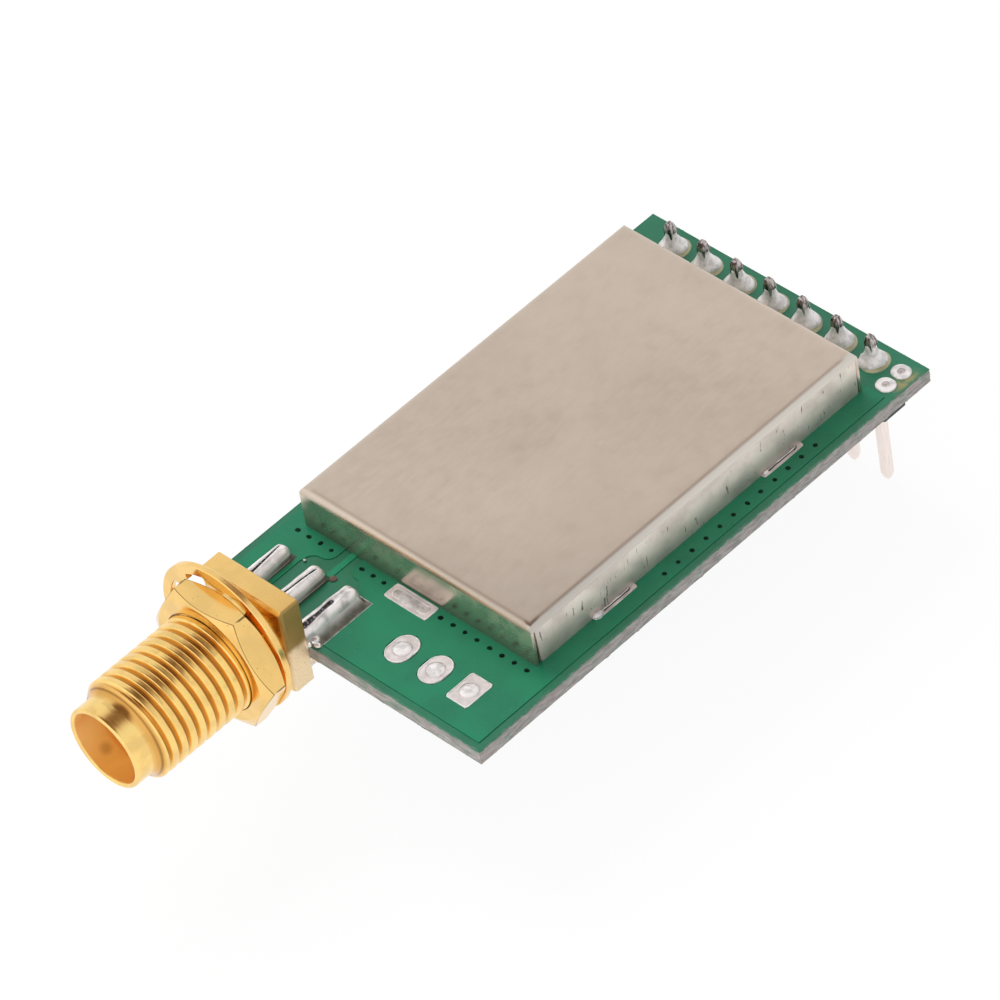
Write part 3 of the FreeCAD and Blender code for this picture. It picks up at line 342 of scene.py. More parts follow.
def turned(profile, around, swell=None):
    """Rings of a turned shape: each profile point (y, radius) is carried round the
    jack's axis, with its radius changed by swell(y, angle, radius) where given."""
    profile = np.asarray(profile, float)
    angle = angles(around)
    y = np.repeat(profile[:, :1], around, 1)
    radius = np.repeat(profile[:, 1:2], around, 1)
    if swell is not None:
        radius = swell(y, angle[None, :], radius)
    return points(JACK_X + radius * np.cos(angle), y, JACK_Z + radius * np.sin(angle))


def piece(name, skins, finish, replaces=(), crease=35, shade=None):
    """Makes one object of its skins, smooth up to the crease angle, riding on the part."""
    verts = np.vstack([skin[0] for skin in skins])
    starts = np.cumsum([0] + [len(skin[0]) for skin in skins[:-1]])
    faces = []
    for start, skin in zip(starts, skins):
        faces += (skin[1] + start).tolist() + (skin[2] + start).tolist()
    mesh = bpy.data.meshes.new(name)
    mesh.from_pydata(verts.tolist(), [], faces)
    if shade is not None:
        values = mesh.attributes.new("shade", "FLOAT", "POINT")
        values.data.foreach_set("value", np.asarray(shade, np.float32))
    mesh.shade_smooth()
    mesh.set_sharp_from_angle(angle=math.radians(crease))
    mesh.materials.append(finish)
    made = bpy.data.objects.new(name, mesh)
    bpy.context.scene.collection.objects.link(made)
    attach(made, "root")
    if replaces:
        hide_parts(*replaces)
    return made


# Materials


def put(tree, value, socket):
    """Link an output to a socket, or set the socket."""
    if isinstance(value, bpy.types.NodeSocket):
        tree.links.new(value, socket)
    else:
        socket.default_value = value


def add_node(tree, kind, settings=None, **inputs):
    """Add a node with its settings and inputs. An input is given by its name, or by the
    letter i and its number."""
    node = tree.nodes.new(kind)
    for name, value in (settings or {}).items():
        setattr(node, name, value)
    for name, value in inputs.items():
        numbered = name[0] == "i" and name[1:].isdigit()
        put(tree, value, node.inputs[int(name[1:]) if numbered else name])
    return node


class Finish:
    """One material with a shader, built on Object coordinates."""

    def __init__(self, name, colour, roughness, metallic=0.0):
        self.material = bpy.data.materials.new(name)
        self.material.use_nodes = True
        self.tree = self.material.node_tree
        self.tree.nodes.clear()
        output = self.tree.nodes.new("ShaderNodeOutputMaterial")
        self.shader = self.tree.nodes.new("ShaderNodeBsdfPrincipled")
        self.tree.links.new(self.shader.outputs["BSDF"], output.inputs["Surface"])
        self.shader.inputs["Base Color"].default_value = (*tuple(colour)[:3], 1)
        self.shader.inputs["Roughness"].default_value = roughness
        self.shader.inputs["Metallic"].default_value = metallic
        self.coordinates = self.tree.nodes.new("ShaderNodeTexCoord")

    def put(self, value, socket):
        """Link an output to a socket, or set the socket."""
        put(self.tree, value, socket)

    def node(self, kind, settings=None, **inputs):
        """Add a node and return its first output."""
        return add_node(self.tree, kind, settings, **inputs).outputs[0]

    def place(self, scale=(1, 1, 1), shift=(0, 0, 0)):
        """Object coordinates, stretched and moved."""
        return self.node("ShaderNodeMapping", Vector=self.coordinates.outputs["Object"],
                         Scale=scale, Location=shift)

    def axis(self, letter):
        """One Object coordinate in metres."""
        node = self.tree.nodes.new("ShaderNodeSeparateXYZ")
        self.tree.links.new(self.coordinates.outputs["Object"], node.inputs[0])
        return node.outputs["XYZ".index(letter)]

    def noise(self, size, detail=4.0, stretch=(1, 1, 1), shift=(0, 0, 0)):
        """Cloudy noise with patches of about the given size."""
        return self.node("ShaderNodeTexNoise", Vector=self.place(stretch, shift),
                         Scale=1 / size, Detail=detail)

    def cells(self, size):
        """Distance to the nearest of scattered points of about the given spacing."""
        return self.node("ShaderNodeTexVoronoi", Vector=self.place(), Scale=1 / size)

    def maths(self, kind, first, second=0.0):
        """Arithmetic on two values."""
        return self.node("ShaderNodeMath", {"operation": kind}, i0=first, i1=second)

    def plus(self, first, second):
        """The sum of two values."""
        return self.maths("ADD", first, second)

    def minus(self, first, second):
        """The first value less the second."""
        return self.maths("SUBTRACT", first, second)

    def times(self, first, second):
        """The product of two values."""
        return self.maths("MULTIPLY", first, second)

    def scaled(self, tone, share):
        """A colour times a share."""
        return self.node("ShaderNodeVectorMath", {"operation": "SCALE"}, i0=tone, Scale=share)

    def between(self, value, low, high):
        """1 between two bounds and 0 outside."""
        above = self.maths("GREATER_THAN", value, low)
        return self.times(above, self.maths("LESS_THAN", value, high))

    def ramp(self, value, low, high, start=0.0, end=1.0):
        """Map a value's range smoothly to another."""
        node = self.tree.nodes.new("ShaderNodeMapRange")
        node.interpolation_type = "SMOOTHSTEP"
        for socket, amount in zip(node.inputs, (value, low, high, start, end)):
            self.put(amount, socket)
        return node.outputs[0]

    def blend(self, share, first, second):
        """Mix two colours."""
        node = self.tree.nodes.new("ShaderNodeMix")
        node.data_type = "RGBA"
        for socket, value in ((node.inputs[0], share), (node.inputs[6], first),
                              (node.inputs[7], second)):
            if not isinstance(value, bpy.types.NodeSocket) and socket.type == "RGBA":
                value = (*tuple(value)[:3], 1)
            self.put(value, socket)
        return node.outputs[2]

    def clouded(self, noise, colour, dark, light, low=0.35, high=0.65):
        """A colour that the noise takes from one share of it to another."""
        share = self.ramp(noise, low, high)
        return self.blend(share, darker(colour, dark), darker(colour, light))

    def over(self, tone, colour, value, low, high, most):
        """A colour laid over a tone, from none of it where the value is low to its most
        where the value is high."""
        return self.blend(self.ramp(value, low, high, 0, most), tone, colour)

    def attribute(self):
        """The piece's own shade attribute."""
        node = self.tree.nodes.new("ShaderNodeAttribute")
        node.attribute_name = "shade"
        return node.outputs["Fac"]

    def paint(self, colour=None, roughness=None, height=None, depth=0.00002, strength=0.6):
        """Give the shader its colour, roughness and bump, and return the material."""
        if colour is not None:
            self.put(colour, self.shader.inputs["Base Color"])
        if roughness is not None:
            self.put(roughness, self.shader.inputs["Roughness"])
        if height is not None:
            bump = self.tree.nodes.new("ShaderNodeBump")
            bump.inputs["Strength"].default_value = strength
            bump.inputs["Distance"].default_value = depth
            self.put(height, bump.inputs["Height"])
            self.tree.links.new(bump.outputs[0], self.shader.inputs["Normal"])
        return self.material


def darker(colour, share):
    """A colour times a share."""
    return tuple(channel * share for channel in tuple(colour)[:3])


def burnt(finish, tone):
    """A mask's tone with the tan stain of burnt flux beside the two small holes."""
    across = finish.minus(finish.axis("X"), 10.0 * MM)
    along = finish.times(finish.minus(finish.axis("Y"), -0.1 * MM), 0.55)
    reach = finish.maths("SQRT", finish.plus(finish.times(across, across),
                                             finish.times(along, along)))
    cloud = finish.noise(0.7 * MM, 3, (1, 1, 1), (0.8, 0.1, 0.2))
    share = finish.times(finish.ramp(reach, 0.25 * MM, 0.75 * MM, 0.75, 0),
                         finish.ramp(cloud, 0.4, 0.55, 0.3, 1))
    return finish.blend(share, tone, (0.33, 0.25, 0.11))


def green_mask(name, colour):
    """Glossy green mask: cloudy depth of colour and a faint cloth weave below it."""
    gloss = 0.28
    finish = Finish(name, colour, gloss)
    cloud = finish.noise(3 * MM, 5)
    speck = finish.noise(0.25 * MM, 2, shift=(0.3, 0.1, 0))
    weave = finish.node("ShaderNodeTexWave", {"wave_type": "BANDS", "bands_direction": "X"},
                        Vector=finish.place(), Scale=1 / (1.6 * MM), Distortion=0.8)
    tone = finish.clouded(cloud, colour, 0.9, 1.12, 0.3, 0.7)
    tone = finish.over(tone, darker(colour, 1.6), speck, 0.62, 0.8, 0.25)
    tone = burnt(finish, tone)
    rough = finish.ramp(cloud, 0.3, 0.7, gloss - 0.05, gloss + 0.1)
    height = finish.plus(finish.times(weave, 0.3), speck)
    finish.shader.inputs["Specular IOR Level"].default_value = 0.28
    return finish.paint(tone, rough, height, 0.004 * MM, 0.35)


def board_finish(settings):
    """The board itself: green mask on both faces, brown glass fibre in its holes."""
    colour = settings.mask_colour
    finish = Finish("board_mask", colour, 0.3)
    cloud = finish.noise(2.2 * MM, 5)
    fibre = finish.noise(0.12 * MM, 3, (1, 1, 0.2))
    tone = finish.clouded(cloud, colour, 0.88, 1.1, 0.3, 0.7)
    edge = finish.blend(finish.ramp(fibre, 0.35, 0.65), darker(settings.edge_colour, 0.45),
                        settings.edge_colour)
    z = finish.axis("Z")
    middle = finish.between(z, BOARD_UNDER + 0.02 * MM, BOARD_TOP - 0.02 * MM)
    return finish.paint(finish.blend(middle, burnt(finish, tone), edge))


def sawn_edge(settings):
    """Rough cut glass fibre: grey, in streaks along the cut, with green and pink tears; on its top
    rim the green mask, with a painted highlight of brighter green along the far edge.
    """
    pale = settings.edge_colour
    finish = Finish("board_edge", pale, 0.8)
    streak = finish.noise(0.2 * MM, 5, (0.28, 0.28, 1.6))
    tear = finish.noise(0.5 * MM, 4, (0.5, 0.5, 1), (0.4, 0.2, 0.1))
    fine = finish.noise(0.08 * MM, 3, (0.5, 0.5, 1))
    rim = finish.ramp(finish.axis("Z"), BOARD_TOP - 0.16 * MM, BOARD_TOP - 0.04 * MM, 0, 0.85)
    # Painted highlight: along the far edge the green of the top rim turns brighter.
    far = finish.ramp(finish.axis("Y"), BOARD_FAR - 0.08 * MM, BOARD_FAR, 0, 0.9)
    tone = finish.clouded(streak, pale, 0.68, 1.08, 0.36, 0.62)
    tone = finish.over(tone, (0.1, 0.22, 0.16), tear, 0.54, 0.68, 0.5)
    tone = finish.over(tone, (0.42, 0.3, 0.29), tear, 0.44, 0.32, 0.35)
    tone = finish.over(tone, (0.6, 0.58, 0.55), fine, 0.6, 0.76, 0.4)
    green = finish.blend(far, darker(settings.mask_colour, 1.2), (0.03, 0.4, 0.22))
    tone = finish.blend(finish.times(rim, finish.ramp(streak, 0.35, 0.5, 0.4, 1)), tone, green)
    height = finish.plus(streak, finish.times(fine, 0.4))
    return finish.paint(tone, None, height, 0.04 * MM, 0.5)


def tinned(settings):
    """Tinned copper: pale, a little pink, slightly uneven with faint rubs."""
    colour = settings.tin_colour
    finish = Finish("tinned_pad", colour, 0.45, 0.6)
    cloud = finish.noise(0.7 * MM, 4)
    fine = finish.noise(0.09 * MM, 3)
    tone = finish.clouded(cloud, colour, 0.88, 1.12)
    rough = finish.ramp(fine, 0.3, 0.7, 0.34, 0.55)
    return finish.paint(tone, rough, cloud, 0.02 * MM, 0.4)


def bright_solder(settings, name="bright_solder", roughness=0.2, metallic=0.8, share=1.0):
    """Solder: bright, with soft dents, grey grain and a little brown flux."""
    colour = darker(settings.solder_colour, share)
    finish = Finish(name, colour, roughness, metallic)
    dent = finish.noise(0.4 * MM, 3)
    grain = finish.noise(0.06 * MM, 2)
    flux = finish.noise(0.8 * MM, 3, (1, 1, 1), (0.2, 0.5, 0.3))
    tone = finish.blend(finish.ramp(dent, 0.35, 0.6), darker(colour, 0.72), colour)
    tone = finish.over(tone, (0.42, 0.33, 0.24), flux, 0.6, 0.75, 0.35)
    rough = finish.ramp(grain, 0.3, 0.7, roughness - 0.06, roughness + 0.14)
    return finish.paint(tone, rough, dent, 0.05 * MM, 0.55)


def sheet_metal(settings):
    """Nickel silver sheet: satin, with stains and fine rubs, painted shade towards its near right
    corner and a painted highlight, paler grey, on its right bend.
    """
    colour = settings.metal_colour
    finish = Finish("nickel_silver", colour, 0.32, 1.0)
    stain = finish.noise(1.1 * MM, 6)
    cloud = finish.noise(9 * MM, 3, shift=(0.2, 0.4, 0))
    rub = finish.noise(0.25 * MM, 3, (1, 0.25, 1), (0.7, 0.1, 0.3))
    fine = finish.noise(0.05 * MM, 2)
    # Painted shade: the whole top grows darker towards its near right corner.
    near = finish.ramp(finish.minus(finish.axis("Y"), finish.axis("X")),
                       CAN_NEAR - CAN_RIGHT, CAN_NEAR + 7 * MM, 0.79, 0.985)
    tone = finish.clouded(cloud, colour, 0.97, 1.04)
    tone = finish.over(tone, darker(colour, 0.7), stain, 0.56, 0.7, 0.08)
    tone = finish.over(tone, darker(colour, 1.3), rub, 0.64, 0.75, 0.22)
    # Painted highlight: the right bend turns the paler grey of the side wall's highlight.
    side = finish.ramp(finish.axis("X"), CAN_RIGHT - 0.41 * MM, CAN_RIGHT - 0.3 * MM)
    tone = finish.blend(side, tone, (0.69, 0.645, 0.585))
    tone = finish.scaled(tone, near)
    rough = finish.plus(finish.ramp(stain, 0.4, 0.65, 0.33, 0.36),
                        finish.ramp(rub, 0.3, 0.7, -0.03, 0.03))
    height = finish.plus(finish.times(fine, 0.5), rub)
    finish.shader.inputs["Anisotropic"].default_value = 0.2
    return finish.paint(tone, rough, height, 0.004 * MM, 0.25)


def polished_wall(settings):
    """The can's near wall: the same sheet, nearly as bright as a mirror, with painted shade at its
    foot and towards its left end.
    """
    colour = settings.metal_colour
    finish = Finish("bright_nickel_silver", colour, 0.22, 0.92)
    cloud = finish.noise(1.6 * MM, 4)
    smear = finish.noise(0.5 * MM, 4, (0.6, 1, 1.4), (0.3, 0.2, 0.6))
    # Painted shade: darker at the foot of the wall and towards its left end.
    foot = finish.ramp(finish.axis("Z"), COPPER_TOP, COPPER_TOP + 1.6 * MM)
    left = finish.ramp(finish.axis("X"), CAN_LEFT, CAN_LEFT + 5 * MM, 0.78, 1.0)
    tone = finish.clouded(cloud, colour, 1.15, 1.45)
    tone = finish.blend(foot, darker(colour, 0.75), tone)
    tone = finish.over(tone, darker(colour, 0.5), smear, 0.58, 0.68, 0.3)
    tone = finish.scaled(tone, left)
    return finish.paint(tone, finish.ramp(cloud, 0.35, 0.65, 0.2, 0.32), cloud, 0.01 * MM, 0.2)


def scratched_wall(settings):
    """The can's side wall: satin and cloudy, with a few short dark upright scratches and
    pale specks, and painted shade that makes it darker to its foot."""
    colour = settings.wall_colour
    finish = Finish("scratched_nickel_silver", colour, 0.42, 0.72)
    scratch = finish.noise(0.16 * MM, 3, (1, 1, 0.16))
    place = finish.noise(0.9 * MM, 2, shift=(0.1, 0.3, 0.7))
    fine = finish.noise(0.1 * MM, 2, (1, 1, 0.5))
    cloud = finish.noise(1.5 * MM, 4, shift=(0.6, 0.2, 0.1))
    # Painted shade: darker towards the foot.
    foot = finish.ramp(finish.axis("Z"), COPPER_TOP, COPPER_TOP + 1.7 * MM, 0.7, 1.05)
    tone = finish.clouded(cloud, colour, 0.9, 1.15)
    dark = finish.times(finish.ramp(scratch, 0.61, 0.68), finish.ramp(place, 0.5, 0.58))
    tone = finish.blend(finish.times(dark, 0.85), tone, (0.07, 0.06, 0.055))
    tone = finish.over(tone, (0.9, 0.86, 0.8), fine, 0.68, 0.76, 0.5)
    tone = finish.scaled(tone, foot)
    rough = finish.ramp(fine, 0.3, 0.7, 0.36, 0.5)
    return finish.paint(tone, rough, cloud, 0.01 * MM, 0.3)


def gold_plate(settings, name="gold_plate", roughness=0.16):
    """Gold plate over turned brass: painted shade, warm and dark, in the valleys where the shade
    attribute is high, and plain gold on the crests.
    """
    colour = settings.gold_colour
    finish = Finish(name, colour, roughness, 1.0)
    cloud = finish.noise(1.4 * MM, 4)
    line = finish.noise(0.12 * MM, 3, (0.4, 3, 0.4))
    pit = finish.cells(0.55 * MM)
    valley_shade = finish.attribute()
    tone = finish.clouded(cloud, colour, 0.94, 1.06)
    # Painted shade in the thread's valleys, where the shade attribute is high.
    tone = finish.blend(finish.times(valley_shade, 0.6), tone, (0.55, 0.24, 0.04))
    tone = finish.blend(finish.ramp(pit, 0.03, 0.07, 0.5, 0), tone, (0.22, 0.1, 0.03))
    rough = finish.plus(finish.ramp(cloud, 0.35, 0.65, roughness - 0.05, roughness + 0.06),
                        finish.ramp(line, 0.3, 0.7, -0.03, 0.05))
    return finish.paint(tone, rough, line, 0.006 * MM, 0.3)


def moulded(name, colour, roughness, size=0.5 * MM):
    """Moulded plastic or a ceramic body: fine grain and soft clouds of tone."""
    finish = Finish(name, colour, roughness)
    cloud = finish.noise(size * 3, 4)
    grain = finish.noise(size / 6, 3)
    tone = finish.clouded(cloud, colour, 0.85, 1.2)
    rough = finish.ramp(grain, 0.3, 0.7, roughness - 0.08, roughness + 0.1)
    return finish.paint(tone, rough, grain, 0.01 * MM, 0.4)


def plain_metal(name, colour, roughness):
    """Plain metal with rubs along it."""
    finish = Finish(name, colour, roughness, 1.0)
    cloud = finish.noise(0.9 * MM, 4)
    line = finish.noise(0.08 * MM, 3, (1, 1, 0.15))
    tone = finish.clouded(cloud, colour, 0.85, 1.12)
    rough = finish.ramp(line, 0.3, 0.7, roughness - 0.06, roughness + 0.12)
    return finish.paint(tone, rough, line, 0.006 * MM, 0.4)


def fluxed_pad(settings):
    """Pads of the jack: dark with flux beside the left leg and the tail, tinned beside
    the right leg."""
    finish = Finish("fluxed_pad", settings.tin_colour, 0.4, 0.6)
    cloud = finish.noise(0.3 * MM, 3)
    right = finish.ramp(finish.axis("X"), JACK_X + 0.8 * MM, JACK_X + 1.4 * MM)
    dark = finish.blend(finish.ramp(cloud, 0.4, 0.6), (0.03, 0.09, 0.05), (0.12, 0.09, 0.07))
    tin = finish.blend(finish.ramp(cloud, 0.4, 0.6), darker(settings.tin_colour, 0.6),
                       settings.tin_colour)
    return finish.paint(finish.blend(right, dark, tin), None, cloud, 0.02 * MM, 0.4)


def soldered_metal(settings, name="soldered_leg", low=0.82, size=0.7):
    """Legs under bright solder: black painted shade in the crack and brown flux at the
    rim, both by the shade attribute."""
    colour = settings.solder_colour
    finish = Finish(name, colour, 0.26, 0.4)
    cloud = finish.noise(size * MM, 2)
    fine = finish.noise(0.16 * MM, 2)
    shade = finish.attribute()
    tone = finish.blend(finish.ramp(cloud, 0.4, 0.6), darker(colour, low), colour)
    tone = finish.blend(finish.ramp(finish.times(shade, -1.0), 0.15, 0.9, 0, 0.85), tone,
                        (0.15, 0.09, 0.075))
    # Painted shade: the crack is black, with grey specks.
    crack = finish.blend(finish.ramp(fine, 0.56, 0.64), (0.01, 0.009, 0.01), (0.24, 0.22, 0.23))
    tone = finish.blend(finish.ramp(shade, 0.3, 0.7), tone, crack)
    return finish.paint(tone, None, cloud, 0.02 * MM, 0.25)


def painted_shade_solder():
    """Solder that slopes from a leg to its pad: painted shade makes it dark grey, and a painted
    highlight makes it paler higher up, beside the leg.
    """
    finish = Finish("painted_shade_solder", (0.3, 0.3, 0.27), 0.32, 0.75)
    cloud = finish.noise(0.6 * MM, 3)
    rise = finish.ramp(finish.axis("Z"), COPPER_TOP + 0.1 * MM, COPPER_TOP + 0.5 * MM)
    # Painted shade makes the solder dark grey, and a painted highlight makes it paler higher up,
    # beside the leg.
    tone = finish.blend(finish.ramp(cloud, 0.35, 0.65), (0.12, 0.13, 0.105), (0.21, 0.21, 0.185))
    tone = finish.blend(rise, tone, (0.6, 0.58, 0.56))
    return finish.paint(tone, None, cloud, 0.02 * MM, 0.3)


def barrel_gold(settings):
    """Gold of the turned barrel, painted by the shade attribute. Where it is high lies
    painted shade: warm between the crests, and thin dark lines where it is 1, at the
    bottoms of the thread's valleys; two turned rings on the nose take the same colours.
    A painted reflection of the dark open top lies in broken brown streaks on the crests
    along the top. Inside the mouth, where the attribute is below 0, the gold is satin
    with painted light: paler towards the upper left, deeper orange towards the lower
    right, painted shade deeper in, and a small brown spot on the bore's wall."""
    colour = settings.barrel_colour
    finish = Finish("barrel_gold", colour, 0.2, 1.0)
    shade = finish.attribute()
    cloud = finish.noise(1.2 * MM, 4)
    line = finish.noise(0.12 * MM, 3, (0.4, 3, 0.4))
    streak = finish.noise(0.9 * MM, 2, (0.8, 1.6, 0.8), (0.3, 0.1, 0.6))
    x = finish.ramp(finish.axis("X"), JACK_X - 1.2 * MM, JACK_X + 0.2 * MM)
    z = finish.ramp(finish.axis("Z"), JACK_Z + 1.9 * MM, JACK_Z + 2.7 * MM)
    crest = finish.ramp(shade, 0.5, 0.05)
    # Painted reflection of the dark open top: broken brown streaks on the crests along the top.
    dark_top_reflection = finish.times(finish.times(x, z), finish.ramp(streak, 0.5, 0.6, 0, 0.25))
    dark_top_reflection = finish.times(dark_top_reflection, crest)
    inside = finish.ramp(finish.times(shade, -1.0), 0.2, 0.8)
    tone = finish.clouded(cloud, colour, 0.9, 1.06)
    # Painted shade: warm orange in the thread's valleys and thin dark lines at their bottoms; the
    # nose's two turned rings take the same colours.
    tone = finish.over(tone, (0.68, 0.31, 0.055), shade, 0.05, 0.8, 0.7)
    tone = finish.over(tone, (0.16, 0.06, 0.015), shade, 0.8, 1.0, 0.6)
    tone = finish.blend(dark_top_reflection, tone, (0.2, 0.085, 0.02))
    low = finish.ramp(finish.minus(finish.axis("X"), finish.axis("Z")),
                      JACK_X - JACK_Z - 2.5 * MM, JACK_X - JACK_Z + 1.5 * MM)
    depth = finish.ramp(finish.axis("Y"), MOUTH_END + 0.2 * MM, BORE_SHELF)
    # Inside the mouth, painted light: paler towards the upper left, deeper orange towards the
    # lower right, painted shade deeper in, and a small brown spot on the bore's wall.
    mouth_painted_light_and_spot = finish.blend(low, (1.0, 0.72, 0.3), (0.9, 0.5, 0.12))
    mouth_painted_light_and_spot = finish.blend(finish.times(depth, 0.6), mouth_painted_light_and_spot, (0.75, 0.36, 0.07))
    spot = finish.node("ShaderNodeVectorMath", {"operation": "DISTANCE"},
                       i0=finish.coordinates.outputs["Object"],
                       i1=(JACK_X - 1.42 * MM, MOUTH_END + 1.14 * MM, JACK_Z - 1.81 * MM))
    spot = finish.ramp(spot.node.outputs["Value"], 0.1 * MM, 0.55 * MM, 0.5, 0)
    mouth_painted_light_and_spot = finish.blend(spot, mouth_painted_light_and_spot, (0.4, 0.16, 0.03))
    tone = finish.blend(inside, tone, mouth_painted_light_and_spot)
    rough = finish.plus(finish.ramp(cloud, 0.35, 0.65, 0.14, 0.26),
                        finish.times(inside, 0.25))
    finish.put(finish.minus(1.0, finish.times(inside, 0.3)),
               finish.shader.inputs["Metallic"])
    return finish.paint(tone, rough, line, 0.006 * MM, 0.3)


def block_metal(settings):
    """The jack's square block: gold, with painted shade darkening its right face to olive brown,
    and a pale pitted patch low on its right side.
    """
    colour = settings.gold_colour
    finish = Finish("block_gold", colour, 0.2, 1.0)
    cloud = finish.noise(1.0 * MM, 4)
    pit = finish.noise(0.09 * MM, 3)
    right = finish.ramp(finish.axis("X"), JACK_X + 2.9 * MM, JACK_X + 3.05 * MM)
    low = finish.ramp(finish.plus(finish.axis("Z"), finish.times(cloud, 1.2 * MM)),
                      JACK_Z + 0.9 * MM, JACK_Z + 0.3 * MM)
    bare = finish.times(right, low)
    tone = finish.clouded(cloud, colour, 0.92, 1.05)
    pale = finish.blend(finish.ramp(pit, 0.6, 0.74), (0.98, 0.78, 0.5), (0.42, 0.24, 0.09))
    # Painted shade: the right face is darkened to olive brown.
    tone = finish.blend(finish.times(right, 0.85), tone, (0.3, 0.2, 0.055))
    tone = finish.blend(bare, tone, pale)
    finish.put(finish.minus(1.0, finish.times(right, 0.35)),
               finish.shader.inputs["Metallic"])
    rough = finish.plus(finish.ramp(cloud, 0.35, 0.65, 0.2, 0.3), finish.times(right, 0.25))
    height = finish.times(pit, finish.plus(bare, 0.1))
    return finish.paint(tone, rough, height, 0.05 * MM, 0.7)


def nut_metal(settings):
    """The nut: gold, with painted shade as dark brown lines along its edges by the shade
    attribute, and scattered pits.
    """
    colour = settings.gold_colour
    finish = Finish("nut_gold", colour, 0.2, 1.0)
    cloud = finish.noise(1.6 * MM, 4)
    pit = finish.cells(0.42 * MM)
    choice = finish.noise(0.5 * MM, 1, shift=(0.5, 0.2, 0.3))
    tone = finish.clouded(cloud, colour, 0.93, 1.05)
    speck = finish.times(finish.ramp(pit, 0.05, 0.1, 1.0, 0.0), finish.ramp(choice, 0.5, 0.56))
    tone = finish.blend(finish.times(speck, 0.7), tone, (0.16, 0.09, 0.04))
    # Painted shade: dark brown lines along the nut's edges and the bore's rim.
    worn = finish.ramp(finish.attribute(), 0.2, 0.9, 0, 0.88)
    tone = finish.blend(worn, tone, (0.1, 0.05, 0.02))
    return finish.paint(tone, finish.ramp(cloud, 0.35, 0.65, 0.13, 0.22), cloud, 0.01 * MM, 0.3)


def pin_metal(settings):
    """Tinned pins: pale below the board, and above it darker with painted shade, in rubbed
    streaks.
    """
    colour = settings.pin_colour
    finish = Finish("pin_metal", colour, 0.32, 1.0)
    line = finish.noise(0.12 * MM, 3, (1, 1, 0.12))
    above = finish.ramp(finish.axis("Z"), BOARD_TOP, BOARD_TOP + 0.8 * MM)
    tone = finish.clouded(line, colour, 0.94, 1.04)
    # Painted shade: above the board the pins turn darker, in streaks.
    worn = finish.blend(finish.ramp(line, 0.42, 0.58), (0.16, 0.14, 0.14), (0.62, 0.55, 0.54))
    return finish.paint(finish.blend(above, tone, worn), finish.ramp(line, 0.3, 0.7, 0.25, 0.42),
                        line, 0.006 * MM, 0.4)


# Pieces


def dress(node, finish):
    """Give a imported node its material."""
    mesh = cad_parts[node].data
    mesh.materials.clear()
    mesh.materials.append(finish)


def rounded_box_ring(half_x, half_y, corner, count):
    """Points round a rectangle with round corners: each corner is a quarter circle of
    count points, and the straight sides join them."""
    turn = np.linspace(0, math.pi / 2, count)
    rings = []
    for quarter, (sign_x, sign_y) in enumerate(((1, 1), (-1, 1), (-1, -1), (1, -1))):
        angle = turn + quarter * math.pi / 2
        rings.append(np.stack([sign_x * (half_x - corner) + corner * np.cos(angle),
                               sign_y * (half_y - corner) + corner * np.sin(angle)], -1))
    return np.vstack(rings)


def plate(outer, inner, low, high, bevel):
    """A flat ring between two outlines with as many points: up the outside, over a
    small bevel, across the top to the inner outline and down inside."""
    inward = outer.mean(0) - outer
    outer_in = outer + inward * (bevel / np.linalg.norm(inward, axis=1)[:, None])
    levels = [(outer, low), (outer, high - bevel), (outer_in, high), (inner, high), (inner, low)]
    return hoop(np.stack([points(line[:, 0], line[:, 1], level) for line, level in levels]))


def round_line(x, y, radius, angle):
    """Points round a middle: the radius times cosine and sine of the angle."""
    return np.stack([x + radius * np.cos(angle), y + radius * np.sin(angle)], -1)


def oval_line(x, y, half_x, half_y, count):
    """A slot shape: a circle of the smaller half, pulled apart along the longer way."""
    angle = angles(count, 0.5)
    radius = min(half_x, half_y)
    apart = np.stack([(half_x - radius) * np.sign(np.cos(angle)),
                      (half_y - radius) * np.sign(np.sin(angle))], -1)
    return round_line(x, y, radius, angle) + apart


def box_line(x, y, half_x, half_y, corner, count):
    """A rectangle with round corners as count points at equal angles: the ray at each
    angle meets the power curve |x|^n + |y|^n = 1, n high for sharp corners."""
    angle = angles(count, 0.5)
    power = 2 * min(half_x, half_y) / corner
    across = np.abs(np.cos(angle) / half_x) ** power
    along = np.abs(np.sin(angle) / half_y) ** power
    reach = (across + along) ** (-1 / power)
    return round_line(x, y, reach, angle)


def pad_line(x, y, half_x, half_y, square):
    """The outline of a pad: a slot shape, or a rectangle with small round corners."""
    if square:
        return box_line(x, y, half_x, half_y, 0.08 * MM, 48)
    return oval_line(x, y, half_x, half_y, 48)


def dome(line, low, high, crown, seed, unevenness):
    """A filled outline that rises to a crown: rings shrink to the middle while the level
    follows 1 - share^3, with a seeded wave for its dents."""
    share = np.concatenate([[1.0, 1.0], np.linspace(0.94, 0.08, 9)])
    middle = line.mean(0)
    flat = middle + (line[None] - middle) * share[:, None, None]
    level = high + (crown - high) * (1 - share ** 3)
    level[0] = low
    z = np.repeat(level[:, None], len(line), 1)
    dent = wander(flat[..., 0], flat[..., 1], 0, 0.6 * MM, seed) * unevenness
    z = z + dent * (1 - share ** 2)[:, None]
    return tube(np.concatenate([flat, z[..., None]], -1))


